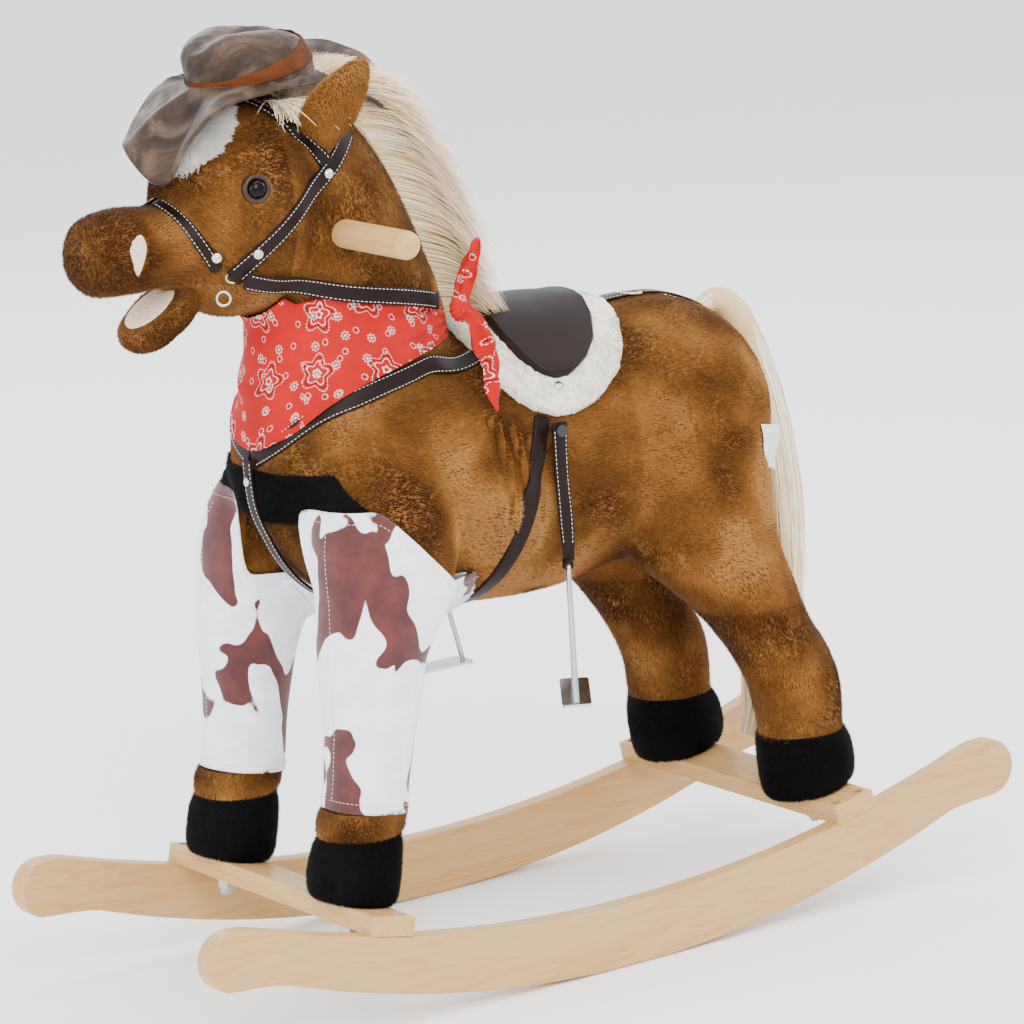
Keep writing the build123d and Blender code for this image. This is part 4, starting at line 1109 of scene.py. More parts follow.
def band_grid(tree, upper, lower, rows, cols):
    """Grid on a surface between two routes in mm, with its normals."""
    a = spline(np.asarray(upper, float), cols) * MM
    b = spline(np.asarray(lower, float), cols) * MM
    grid = np.zeros((rows, cols, 3))
    normals = np.zeros((rows, cols, 3))
    for i, t in enumerate(np.linspace(0, 1, rows)):
        grid[i], normals[i] = snap(tree, a + (b - a) * t)
    return grid, unit(soften_grid(normals, 12, hold=False))


def mirror_route(half):
    """A route from the far side to the near side, mirrored from its near half."""
    return [(x, -y, z) for x, y, z in half[::-1]] + [(x, y, z) for x, y, z in half if abs(y) > 0.5]


# ---- Bandana ----
BANDANA_UPPER = [(214, 0, 513), (206, 36, 518), (178, 56, 524), (140, 60, 522), (100, 58, 514),
                 (66, 52, 505)]
BANDANA_LOWER = [(214, 0, 411), (201, 38, 424), (172, 60, 451), (132, 66, 466), (94, 60, 474),
                 (62, 54, 480)]


def build_bandana(tree, material):
    """Folded square tied round the neck, its point hanging on the chest."""
    rows, cols = 70, 240
    grid, normals = band_grid(tree, mirror_route(BANDANA_UPPER), mirror_route(BANDANA_LOWER), rows,
                              cols)
    grid = soften_grid(grid, 14)
    down = np.linspace(0, 1, rows)[:, None]
    along = np.linspace(-1, 1, cols)[None, :]
    flat = np.stack([np.repeat(down, cols, 1) * 0.11, np.repeat(along, rows, 0) * 0.25,
                     0 * grid[..., 0]], axis=-1)
    # Pleats fan out from the knots at the two ends towards the point on the chest
    fan = np.abs(along) ** 1.5
    pleats = np.sin(down * 26 + along**2 * 5 + 2.2 * grid_fractal(flat, 22.0, 31, 2))
    sag = np.exp(-((down - 0.62 + 0.25 * along**2) / 0.06) ** 2) * (1 - 0.5 * np.abs(along))
    ease = 3.2 + 1.5 * fan * pleats + 2.6 * sag + 3.4 * (grid_fractal(grid, 34.0, 41, 2) - 0.5)
    ease += 1.2 * np.exp(-(1 - down) * 30)
    outer = grid + normals * np.clip(ease, 1.6, 8)[..., None] * MM
    outer = soften_grid(outer, 2)
    sheet_obj = grid_shell("bandana_cloth", outer, outer - normals * 0.7 * MM, [material])
    across = run_length(outer[rows // 2])
    fall = np.linalg.norm(outer[-1] - outer[0], axis=1)
    cloth = np.stack([np.repeat(across[None, :], rows, 0), down * fall[None, :],
                      np.zeros((rows, cols))], axis=-1)
    add_point_attribute(sheet_obj, "flat_cloth", np.concatenate([cloth.reshape(-1, 3)] * 2))
    place_piece(sheet_obj, "horse", "red_cotton", "bandana")
    return sheet_obj


def tail_of_cloth(name, route, widths, twist, material, seed):
    """One loose end of the knot: a narrow cloth that twists and curls along a route in mm."""
    line = even_spline(np.asarray(route, float) * MM, 0.002)
    steps = len(line)
    t = np.linspace(0, 1, steps)
    tangent = unit(np.gradient(line, axis=0))
    out = np.array([0.25, 0.95, 0.1])
    side = unit(np.cross(tangent, out))
    normal = unit(np.cross(side, tangent))
    turn = np.radians(np.interp(t, [0, 1], twist))[:, None]
    c, s = np.cos(turn), np.sin(turn)
    side, normal = side * c + normal * s, normal * c - side * s
    width = np.interp(t, np.linspace(0, 1, len(widths)), widths) * MM
    cols = 15
    u = np.linspace(-0.5, 0.5, cols)
    curl = (0.34 * np.cos(u * 2 * math.pi)[None, :] + 0.16
            * np.sin(u * 14 + seed)[None, :]) * width[:, None]
    curl = curl * (0.7 + 0.5 * np.sin(t * 15 + seed))[:, None]
    offset = side[:, None] * (u[None, :, None] * width[:, None, None])
    grid = line[:, None] + offset + normal[:, None] * curl[..., None]
    normals = grid_normals(grid)
    obj = grid_shell(name, grid + normals * 0.35 * MM, grid - normals * 0.35 * MM, [material])
    run = np.arange(steps) * 0.002
    flat = np.stack([np.repeat(run[:, None], cols, 1), u[None, :] * width[:, None] + 0.4 * seed,
                     0 * grid[..., 0]], axis=-1)
    add_point_attribute(obj, "flat_cloth", np.concatenate([flat.reshape(-1, 3)] * 2))
    return obj


def build_knot(material):
    """Knot behind the reins with one end standing up and one hanging down."""
    up = tail_of_cloth("bandana_end_up", [(72, 64, 500), (69, 66, 513), (66, 68, 527),
                                          (58, 66, 540), (50, 62, 550)],
                       [9, 13, 15, 12, 4], (10, 70), material, 1)
    down = tail_of_cloth("bandana_end_down", [(72, 66, 502), (69, 75, 497), (65, 84, 482),
                                              (65, 92, 462),
                                              (68, 97, 442), (66, 98, 428)], [8, 14, 19, 17, 11, 4],
                         (0, 40), material, 2)
    lump = ellipsoid((71, 65, 501), (8, 7, 10), 32)
    knot = shells_object("bandana_knot_lump", [lump], material)
    points = get_points(knot)
    folds = 0.9 * np.sin(points[:, 2] * 1500 + points[:, 0] * 900) * MM
    set_points(knot, points + point_normals(knot) * folds[:, None])
    add_point_attribute(knot, "flat_cloth", points[:, [0, 2, 1]] * (1, 1, 0))
    place_piece(knot, "horse", "red_cotton", "bandana_knot")
    for obj in (up, down):
        place_piece(obj, "horse", "red_cotton")
    return knot, up, down


# ---- Hat ----
HAT_CENTRE = (196, -3, 682)
HAT_HALF = 47
HAT_SIDE = 46
HAT_WRINKLE = (1.0, 1.0, 1.8)
BRIM_EDGE = [
    (306, 0, 643), (301, 22, 624), (296, 40, 624), (284, 51, 648), (264, 55, 666), (232, 54, 676),
    (190, 46, 677),
    (152, 33, 672), (116, 26, 660), (86, 14, 644), (72, -10, 656), (76, -34, 678), (108, -50, 692),
    (152, -59, 690),
    (202, -62, 684), (250, -50, 670), (286, -26, 652),
]


def hat_ring(scale, height, count):
    """Ring of the crown's oval, in mm, on the hat's own tilted plane."""
    turn = np.linspace(0, 2 * math.pi, count, endpoint=False)
    u, v = HAT_HALF * scale * np.cos(turn), HAT_SIDE * scale * np.sin(turn)
    x = HAT_CENTRE[0] + u * 0.985 + height * 0.12
    y = HAT_CENTRE[1] + v - height * 0.05
    z = HAT_CENTRE[2] - u * 0.03 + height * 0.985
    return np.stack([x, y, z], axis=1)


def at_angles(outline, angles):
    """Points of a closed outline at given angles about the hat's middle."""
    turn = np.arctan2(outline[:, 1] - HAT_CENTRE[1], outline[:, 0] - HAT_CENTRE[0])
    order = np.argsort(turn)
    return np.stack([np.interp(angles, turn[order], outline[order, k],
                               period=2 * math.pi) for k in range(3)], axis=1)


def build_hat(material, band_material):
    """Wavy brim, dented crown and slanting ribbon."""
    around = 200
    edge = np.array(BRIM_EDGE, float)
    closed = np.concatenate([edge[-3:], edge, edge[:3]])
    dense = spline(closed, 40 * len(closed))
    turn = np.linspace(0, 2 * math.pi, around, endpoint=False)
    wrapped = (turn + math.pi) % (2 * math.pi) - math.pi
    ring_out = at_angles(dense, wrapped)
    ring_in = at_angles(hat_ring(1.0, 0.0, around), wrapped)
    rows = 44
    t = np.linspace(0, 1, rows)[:, None, None]
    grid = ring_in + (ring_out - ring_in) * t
    wave = grid_fractal(grid * MM, 30.0, 51, 2) - 0.5
    lift = 7.0 * np.sin(math.pi * t[..., 0] * 0.9) * (0.4 + wave) + 5.0 * wave * t[..., 0]
    radial_folds = 1.2 * np.sin(turn * 11 + 3 * wave.mean(axis=0)
                                * 8)[None, :] * np.sin(math.pi * t[..., 0])
    grid[..., 2] += lift + radial_folds
    grid = grid * MM
    normals = grid_normals(grid)
    normals *= np.sign(normals[..., 2:])
    hem = 0.5 * np.exp(-((t[..., 0] - 0.95) / 0.03) ** 2)[..., None]
    brim = grid_shell("hat_brim_cloth", grid + normals * (1.2 + hem) * MM,
                      grid - normals * 1.2 * MM, [material], cyclic=True)
    place_piece(brim, "horse", "taupe_velour", "hat_brim")

    levels = [(1.0, -3), (1.0, 2), (1.0, 8), (0.985, 14), (0.95, 20), (0.90, 26), (0.80, 31),
              (0.66, 34.5), (0.48, 36),
              (0.28, 36), (0.1, 35.5), (0.01, 35.5)]
    profile = even_spline([(s * 54, h, 0) for s, h in levels], 1.6)
    rings = np.array([hat_ring(r / 54, h, around) for r, h, _ in profile])
    wrinkles = grid_fractal(rings * MM * HAT_WRINKLE, 36.0, 61, 3) - 0.5
    crease = np.exp(-((rings[..., 1] - HAT_CENTRE[1]) / 13.0) ** 2)
    top = np.clip((rings[..., 2] - 700) / 12, 0, 1)
    out = unit(rings - np.array([HAT_CENTRE[0], HAT_CENTRE[1], HAT_CENTRE[2] + 2]))
    rings = rings + out * (7.0 * wrinkles)[..., None]
    rings[..., 2] -= 5.0 * crease * top
    rings = rings * MM
    outward = grid_normals(rings)
    outward *= np.sign(np.sum(outward * out, axis=-1, keepdims=True))
    crown = grid_shell("hat_crown_cloth", rings, rings - outward * 1.6 * MM, [material],
                       cyclic=True)
    place_piece(crown, "horse", "taupe_velour", "hat_crown")

    lean = 4.5 + 7.5 * np.cos(turn - math.pi)
    width = 11.0 + 5.0 * np.cos(turn - math.pi)
    band_rows = []
    for k in np.linspace(0, 1, 12):
        height = lean + width * k
        scale = np.interp(height, [h for _, h in levels[:8]], [s for s, _ in levels[:8]])
        band_rows.append(hat_ring(scale, height, around))
    band = np.array(band_rows) * MM
    out = unit(band - np.array([HAT_CENTRE[0], HAT_CENTRE[1], HAT_CENTRE[2] + 8]) * MM)
    swell = 7.0 * (grid_fractal(band * HAT_WRINKLE, 36.0, 61, 3) - 0.5)
    band_out = band + out * (swell + 1.4)[..., None] * MM
    ribbon = grid_shell("hat_ribbon", band_out, band_out - out * 0.9 * MM, [band_material],
                        cyclic=True)
    place_piece(ribbon, "horse", "rust_ribbon", "hat_band")
    return brim, crown, ribbon


# ---- Mane and tail ----
HAIR_SHADES = ("CBAB77", "DDC292", "EBD5AB", "F3E3C3", "F8EFDB")


def hair_shades(count, seed, broad=None):
    draw = np.random.default_rng(seed)
    base = draw.normal(2.3, 1.0,
                       count) if broad is None else broad * 4.4 + draw.normal(0, 0.7, count)
    return np.clip(base.round().astype(int), 0, len(HAIR_SHADES) - 1)


def build_mane(materials, core_material):
    """Crest of long hair from between the ears to the withers, falling back and to both sides."""
    crest = [(176, 664, 0), (150, 672, 4), (122, 660, 4), (100, 632, 3), (82, 598, 2), (68, 560, 2),
             (56, 520, 2),
             (44, 486, 2)]
    line = spline(crest, 300)
    draw = np.random.default_rng(77)
    count = 16000
    s = draw.random(count)
    place = np.stack([np.interp(s, np.linspace(0, 1, 300), line[:, k]) for k in (0, 1)], axis=1)
    tangent = np.gradient(line[:, :2], axis=0)
    tangent = unit(np.stack([np.interp(s, np.linspace(0, 1, 300), tangent[:, k]) for k in (0, 1)],
                            axis=1))
    outward = np.stack([tangent[:, 1], -tangent[:, 0]], axis=1)
    side = np.clip(draw.normal(0, 0.5, count), -1, 1)
    reach = np.interp(s, [0, 0.12, 0.22, 0.35, 0.6, 0.85, 1],
                      [24, 30, 42, 54, 64, 58, 42]) * draw.uniform(0.55, 1.05, count)
    steps = 12
    t = np.linspace(0, 1, steps)[None, :]
    spread = 15 + 10 * s
    clump = fractal(np.stack([s * 0.35, side * 0.03, 0 * s], axis=1), 90.0, 81, 2) - 0.5
    wave = 1.1 * np.sin(t * 3.5 + (clump * 7)[:, None]) * t
    fall = np.interp(s, [0, 0.3, 0.65, 1], [0.8, 1.45, 1.25, 0.5])[:, None] * t**1.15
    body = np.sin(np.clip(1.15 * t, 0, 1) * math.pi / 2)
    x = place[:, :1] + outward[:, :1] * (reach[:, None] * body * 0.72
                                         - 8) + tangent[:, :1] * reach[:, None] * fall
    z = place[:, 1:] + outward[:, 1:] * (reach[:, None] * body * 0.72
                                         - 8) + tangent[:, 1:] * reach[:, None] * fall
    y = (side * spread)[:, None] * (0.55 + 0.85 * t) + wave + 6 * clump[:, None] * t
    y += np.sign(side)[:, None] * (4.0 * t)
    x += 5.0 * clump[:, None] * t + 0.6 * wave
    paths = np.stack([x, y, z], axis=2) * MM
    facing = unit(np.stack([outward[:, 0], side * 1.2, outward[:, 1]], axis=1))[:, None, :]
    mane = ribbons("mane_hair", paths, 0.0008, materials, hair_shades(count, 5, clump + 0.5),
                   facing)
    place_piece(mane, "horse", "cream_hair", "mane")
    core_rows = [(x, 0, z, math.degrees(math.atan2(b, a)),
                  *((4, 5) if x > 125 else (12, 15))) for (x, z, _), (a, b) in
                 zip(crest, np.gradient(np.array(crest)[:, :2], axis=0))]
    core = shells_object("mane_backing", [ring_surface(ellipse_rings(core_rows, 60, 32))],
                         core_material)
    place_piece(core, "horse", "cream_hair")
    return mane


TAIL_ROUTE = [(-190, 452), (-208, 457), (-225, 443), (-239, 404), (-249, 350), (-254, 286),
              (-252, 226), (-238, 150),
              (-220, 106)]
TAIL_GIRTH = [6, 13, 18, 22, 24, 24, 23, 18, 8]


def build_tail(materials, core_material):
    """Long hair that springs from the dock, spills over the rump and hangs behind the hind legs."""
    draw = np.random.default_rng(99)
    count, steps = 7600, 26
    t = np.linspace(0, 1, steps)
    dense = even_spline([(x, 0, z) for x, z in TAIL_ROUTE], 4.0)
    run = np.linspace(0, 1, len(dense))
    tangent = unit(np.gradient(dense, axis=0))
    girth = np.interp(run, np.linspace(0, 1, len(TAIL_GIRTH)), TAIL_GIRTH)
    spin = draw.uniform(0, 2 * math.pi, count)
    radius = np.sqrt(draw.uniform(0.05, 1.0, count))
    start = draw.uniform(0, 0.10, count)
    stop = np.clip(draw.normal(0.93, 0.09, count), 0.55, 1.0)
    along = start[:, None] + (stop - start)[:, None] * t
    centre = np.stack([np.interp(along, run, dense[:, k]) for k in range(3)], axis=-1)
    tan = unit(np.stack([np.interp(along, run, tangent[:, k]) for k in range(3)], axis=-1))
    wide = np.interp(along, run, girth)
    lateral = np.array([0.0, 1.0, 0.0])
    back = unit(np.cross(tan, lateral))
    lock = np.floor(spin * 14 / (2 * math.pi)) + 14 * np.floor(radius * 2.999)
    lock_draw = np.random.default_rng(4).normal(0, 0.8, (64, 3))
    sway = lock_draw[lock.astype(int) % 64] + draw.normal(0, 0.35, (count, 3))
    wave = 3.4 * np.sin(along * 9 + sway[:, :1] * 3) * along
    r = wide * radius[:, None] * (1 + 0.12 * sway[:, 1:2] * along)
    y = r * np.cos(spin)[:, None] * 0.95 + wave + 3.0 * sway[:, 2:] * along
    b = r * np.sin(spin)[:, None] + 2.4 * np.sin(along * 11 + sway[:, 2:] * 4) * along
    paths = (centre + lateral * y[..., None] + back * b[..., None]) * MM
    facing = unit(np.stack([0 * spin, np.cos(spin), 0 * spin], axis=1)[:, None] + back
                  * np.sin(spin)[:, None, None])
    tail = ribbons("tail_hair", paths, 0.0009, materials,
                   hair_shades(count, 6, (sway[:, 0] * 0.10 + 0.55)), facing)
    place_piece(tail, "tail", "cream_hair", "tail")
    rows = [(x, 0, z, 0, 0, 0) for x, z in TAIL_ROUTE[:-1]]
    grad = np.gradient(np.array([(r[0], r[2]) for r in rows], float), axis=0)
    core_rows = [(x, 0, z, math.degrees(math.atan2(g[1], g[0])), w * 0.72, w * 0.72)
                 for (x, _, z, *_), g, w in zip(rows, grad, TAIL_GIRTH)]
    leans = np.degrees(np.unwrap(np.radians([r[3] for r in core_rows])))
    core_rows = [(*r[:3], lean, *r[4:]) for r, lean in zip(core_rows, leans)]
    core = shells_object("tail_backing", [ring_surface(ellipse_rings(core_rows, 60, 28))],
                         core_material)
    place_piece(core, "tail", "cream_hair")
    return tail


def build_forelock(materials):
    """Wisps that escape from under the hat's brim between the ears."""
    draw = np.random.default_rng(31)
    count, steps = 260, 9
    t = np.linspace(0, 1, steps)[None, :]
    s = draw.random(count)
    x0, y0, z0 = 200 - 34 * s, 30 + draw.normal(0, 5, count), 668 - 2 * s
    way = np.stack([draw.normal(-0.25, 0.5, count), 0.75 + draw.normal(0, 0.2, count),
                    -0.25 + draw.normal(0, 0.25, count)], axis=1)
    reach = draw.uniform(12, 26, count)[:, None]
    path = np.stack([x0[:, None] + way[:, :1] * reach * t, y0[:, None] + way[:, 1:2] * reach * t,
                     z0[:, None] + way[:, 2:] * reach * t - 7 * t**2], axis=2) * MM
    facing = np.broadcast_to(np.array([0.2, 0.5, 0.8]), (count, 3))[:, None]
    wisps = ribbons("forelock", path, 0.0008, materials, hair_shades(count, 8), facing)
    return place_piece(wisps, "horse", "cream_hair")


# ---- Face ----
def build_eye(side, tree, gloss, iris):
    """Glossy half ball in a brown ring, pressed into the plush."""
    place, normal, _, _ = tree.find_nearest(Vector((234, side * 58, 612)) * MM)
    normal = unit(np.array(normal) + (0, side * 0.4, 0))
    name = "left" if side > 0 else "right"
    ball = [(0.01, -3), (7.2, -3), (7.3, 0.2), (6.9, 2.2), (5.9, 3.9), (4.3, 5.3), (2.2, 6.1),
            (0.01, 6.4)]
    ring = [(7.0, -2), (10.6, -2), (10.9, 0.6), (10.2, 1.8), (8.6, 2.6), (7.4, 2.2), (7.0, 1.2),
            (7.0, -2)]
    pieces = []
    for kind, profile, material in (("pupil", ball, gloss), ("ring", ring, iris)):
        smooth = even_spline([(r, h, 0) for r, h in profile], 0.5)[:, :2] * MM
        shell = lathe(smooth, np.array(place), normal, 48)
        eye = shells_object(f"{name}_eye_{kind}", [shell], material)
        place_piece(eye, "horse", "eye_gloss", *(["eyes"] if side > 0 and kind == "pupil" else []))
        pieces.append(eye)
    return pieces


def patch_on(name, tree, outline, out, material, rows=24, around=64):
    """Thin domed patch on a surface inside an outline of points in mm."""
    ring = spline(np.array(outline + outline[:3], float), 60 * len(outline))
    n = len(outline)
    lo, hi = int(len(ring) / (n + 2)), int(len(ring) * (n + 1) / (n + 2))
    ring = ring[np.linspace(lo, hi, around, endpoint=False).astype(int)]
    centre = ring.mean(axis=0)
    t = np.linspace(0.02, 1, rows)
    grid = (centre + (ring - centre)[None] * t[:, None, None]) * MM
    flat, normals = snap(tree, grid.reshape(-1, 3))
    normals = unit(normals).reshape(grid.shape)
    base = flat.reshape(grid.shape)
    height = out * np.sqrt(np.clip(1 - t**6, 0, 1))[:, None, None] * MM
    return grid_shell(name, base + normals * height, base - normals * 0.4 * MM, [material],
                      cyclic=True)


JAW_SLOPE = math.radians(34)
JAW_MIDDLE = (292, 532)


def build_jaw(materials, skin, lining_material, seed):
    """Lower lip of the open mouth, with its pale lining, riding on the jaw's hinge."""
    shells = [ellipsoid((-2, 0, -9), (34, 29, 19)), ellipsoid((10, 0, -10), (27, 26, 18))]
    jaw = joined("jaw_plush", shells)
    points = get_points(jaw) / MM
    points[:, 2] = np.where(points[:, 2] > -2.5, -2.5 + 0.15 * (points[:, 2] + 2.5), points[:, 2])
    c, s = math.cos(JAW_SLOPE), math.sin(JAW_SLOPE)
    x0, z0 = JAW_MIDDLE
    moved = np.stack([x0 + points[:, 0] * c + points[:, 2] * s, points[:, 1],
                      z0 - points[:, 0] * s + points[:, 2] * c], axis=1)
    set_points(jaw, moved * MM)
    remesh(jaw, 0.003, 6)
    jaw.data.materials.append(skin)
    place_piece(jaw, "jaw", "brown_plush", "jaw")
    turn = np.linspace(0, 2 * math.pi, 64, endpoint=False)
    rings = []
    for r in np.linspace(1, 0.02, 20):
        x, y = 4 + 22 * r * np.cos(turn), 18.5 * r * np.sin(turn)
        z = -1.6 + 1.9 * (1 - r**4) - 1.6 * np.exp(-(y / 3.5) ** 2) * (1 - r**2)
        rings.append(np.stack([x0 + x * c + z * s, y, z0 - x * s + z * c], axis=1) * MM)
    grid = np.array(rings)[::-1]
    lift = np.array([s, 0, c]) * 1.2 * MM
    lining = grid_shell("jaw_lining_cloth", grid + lift, grid - 2 * lift, [lining_material],
                        cyclic=True)
    place_piece(lining, "jaw", "beige_velour", "jaw_lining")
    roots, normals = bare_roots(jaw, 1.5, seed, tree_of([lining]), 0.006)
    flow = np.tile([-0.4, 0.0, -0.6], (len(roots), 1))
    fur = blades("jaw_pile", roots, normals, flow, 0.0035, 0.0009, materials, seed,
                 shades=pick_shades(roots, len(materials), seed, shift=-0.08))
    place_piece(fur, "jaw", "brown_plush")
    return jaw, lining


# ---- Hooves and cuffs ----
FRONT_HOOF = [(211, 84, 86.5, 101.6, 30, 30), (210, 84, 92, 100, 33, 33),
              (208, 84, 105, 97, 34, 34),
              (204, 84, 124, 93, 33, 33), (202, 84, 134, 90, 30, 30)]
REAR_HOOF = [(-211, 84, 86.5, 78.4, 33, 33), (-211, 84, 92, 80, 36, 36),
             (-210, 84, 105, 84, 37, 37),
             (-208, 84, 121, 88, 36, 36), (-206, 84, 131, 90, 33, 33)]
CUFF = [(201, 84, 135, 90, 30, 30), (200, 84, 139, 90, 32, 32), (198, 84, 148, 90, 32.5, 32.5),
        (196, 84, 154, 90, 31, 31)]


def build_bands(name, stations, skin, slot, nodes):
    shells = []
    for part in stations:
        for rows in (part, mirrored(part)):
            shells.append(ring_surface(ellipse_rings(rows, 24, 56)))
    obj = shells_object(name, shells, skin)
    points = get_points(obj)
    push = 1.6 * (fractal(points, 30.0, 12, 2) - 0.5)
    set_points(obj, points + point_normals(obj) * push[:, None] * MM)
    place_piece(obj, "horse", slot, *nodes)
    return obj


def band_fur(name, base, materials, seed, slot, density=1.3, length=0.004, shift=0.0):
    roots, normals = surface_samples(base, density, seed)
    flow = np.tile([0.0, 0.0, -1.0], (len(roots), 1))
    fur = blades(name, roots, normals, flow, length, 0.0009, materials, seed,
                 shades=pick_shades(roots, len(materials), seed, shift=shift))
    return place_piece(fur, "horse", slot)


# ---- Stirrup leathers ----
LEATHER_THICKNESS = 1.6
LEATHER_Y = 101.0
LEATHER_TOP = 411
BAR_X = 0.014
LOOP = [(2.15, -4), (3.9, -4), (3.9, 4), (2.15, 4), (2.15, -4)]


def build_leather(side, bar_z, turn, material, thread):
    """Narrow strap that hangs from its pin, twists, and loops round the stirrup's bar."""
    name = "left" if side > 0 else "right"
    y = side * LEATHER_Y
    steps = 60
    z = np.linspace(LEATHER_TOP, bar_z + 2.6, steps)
    t = np.linspace(0, 1, steps)
    place = np.stack([14 + 1.2 * np.sin(t * 5),
                      np.full(steps, y) + side * 0.8 * np.sin(t * math.pi), z], axis=1) * MM
    yaw = np.radians(90 * side + turn * np.clip((t - 0.45) / 0.5, 0, 1))
    normals = np.stack([np.cos(yaw), np.sin(yaw), 0 * yaw], axis=1)
    width = np.interp(t, [0, 0.75, 1], [13.0, 11.0, 8.0])
    tangent = unit(np.gradient(place, axis=0))
    across = unit(np.cross(tangent, normals))
    section = np.array([(-0.5, -0.5), (-0.5, 0.3), (-0.42, 0.5), (0, 0.56), (0.42, 0.5), (0.5, 0.3),
                        (0.5, -0.5)])
    shells = [swept(place, across, normals, section, width[:, None, None], LEATHER_THICKNESS)]
    bar_axis = np.cross(normals[-1], (0, 0, 1))
    shells.append(lathe([(r * MM, h * MM) for r, h in LOOP],
                        np.array((BAR_X, y * MM, bar_z * MM)), bar_axis))
    leather = shells_object(f"{name}_leather_strap", shells, material)
    place_piece(leather, f"{name}_leather", "brown_vinyl", f"{name}_stirrup_leather")
    threads = []
    for face in (1, -1):
        for row in (-1, 1):
            edge = place + across * row * (width / 2
                                           - 1.5)[:, None] * MM + normals * face * 0.82 * MM
            threads += stitches_on(edge[3:-6], normals[3:-6] * face)
    stitching = shells_object(f"{name}_leather_stitching", threads, thread)
    place_piece(stitching, f"{name}_leather", "brown_vinyl")
    return leather


def build_label(tree, material):
    """Blank woven label sewn in the seam behind the near hind leg."""
    rows, cols = 20, 26
    corners = np.array([[(-176, 86, 376), (-204, 80, 370)], [(-182, 84, 340), (-210, 78, 334)]],
                       float)
    u = np.linspace(0, 1, cols)[None, :, None]
    v = np.linspace(0, 1, rows)[:, None, None]
    grid = ((corners[0, 0] * (1 - u) + corners[0, 1] * u) * (1 - v)
            + (corners[1, 0] * (1 - u) + corners[1, 1] * u) * v)
    place, out = snap(tree, grid.reshape(-1, 3) * MM)
    out = unit(soften(out, 20)).reshape(grid.shape)
    stand = 1.5 + 6.0 * u + 1.2 * np.sin(v * 5.0)
    grid = place.reshape(grid.shape) + out * stand * MM
    normals = grid_normals(grid)
    label = grid_shell("care_label_cloth", grid + normals * 0.15 * MM, grid - normals * 0.15 * MM,
                       [material])
    place_piece(label, "horse", "white_label", "care_label")
    return label


# ---- The model ----
PLEATS = [
    [(66, 84, 418), (60, 95, 380), (58, 92, 330), (72, 80, 292)],
    [(52, 88, 410), (46, 96, 370), (46, 90, 320), (58, 76, 285)],
    [(38, 92, 400), (32, 97, 360), (34, 88, 310), (44, 70, 276)],
]
SEAMS = [
    [(-98, 84, 428), (-108, 98, 390), (-112, 100, 353), (-100, 94, 326), (-84, 76, 304)],
    [(206, 60, 600), (196, 58, 622), (180, 54, 640)],
    [(96, 60, 640), (70, 44, 590), (62, 50, 540), (48, 52, 505)],
    [(120, 92, 300), (96, 88, 318), (84, 92, 350)],
]


def sew_body(obj):
    """Press the pleats and seams into the stuffed skin and roughen it with soft lumps."""
    points, normals = get_points(obj), point_normals(obj)
    push = 1.7 * (fractal(points, 13.0, 2, 3) - 0.5) + 1.5 * (fractal(points, 42.0, 6, 2) - 0.5)
    for route in PLEATS:
        line = even_spline(np.array(route, float) * MM, 0.004)
        mirror_line = line * (1, -1, 1)
        near = np.minimum(distance_to_line(points, line),
                          distance_to_line(points, mirror_line)) / MM
        push -= 3.6 * np.exp(-(near / 3.0) ** 2)
        push += 1.8 * np.exp(-((near - 6.5) / 3.5) ** 2)
    for route in SEAMS:
        line = even_spline(np.array(route, float) * MM, 0.004)
        near = np.minimum(distance_to_line(points, line),
                          distance_to_line(points, line * (1, -1, 1))) / MM
        push -= 2.4 * np.exp(-(near / 2.6) ** 2)
    set_points(obj, points + normals * push[:, None] * MM)


def tone_and_painted_light_shift(points):
    """Darker face, muzzle tip, neck and lower hind legs, lighter rump; painted shade on the
    shoulder, painted light on the flank.
    """
    x, z = points[:, 0] / MM, points[:, 2] / MM
    shift = np.zeros(len(points))
    shift -= 0.30 * ((x > 205) & (z > 545))
    shift -= 0.08 * ((x > 325) & (z > 530))
    shift -= 0.06 * ((x < 200) & (z > 480))
    shift += 0.10 * ((x < -60) & (z > 300))
    shift -= 0.14 * ((x < -60) & (z < 240))
    # Painted shade: the shoulder behind the chaps' belt and under the bandana is made much darker.
    shift -= 0.50 * np.exp(-(((x - 150) / 50) ** 2 + ((z - 372) / 42) ** 2))
    # Painted light: the lower flank is made lighter.
    shift += 0.32 * np.exp(-(((x - 70) / 60) ** 2 + ((z - 330) / 36) ** 2))
    return shift


def nap_flow(points):
    """The nap runs back along the torso and head, and down the neck and legs."""
    x, z = points[:, 0] / MM, points[:, 2] / MM
    down = np.clip((z - 440) / 60, 0, 1) * np.clip((215 - x) / 40, 0, 1) + np.clip((300 - z) / 60,
                                                                                   0, 1)
    down = np.clip(down, 0, 1)[:, None]
    return np.array([-1.0, 0.0, -0.25]) * (1 - down) + np.array([-0.15, 0.0, -1.0]) * down


def in_blaze(points):
    """True inside the white patch that slants over the forehead."""
    x, y, z = points.T / MM
    wander = 5.0 * (fractal(points, 60.0, 71, 2) - 0.5)
    slant = (x - 252 + (z - 647) * 1.0 + wander * 0.6) / 8.5
    return (slant**2 + ((z - 647) / 26) ** 2 < 1) & (y > 6) & (x > 200)


PILE_ROOM = 0.0075


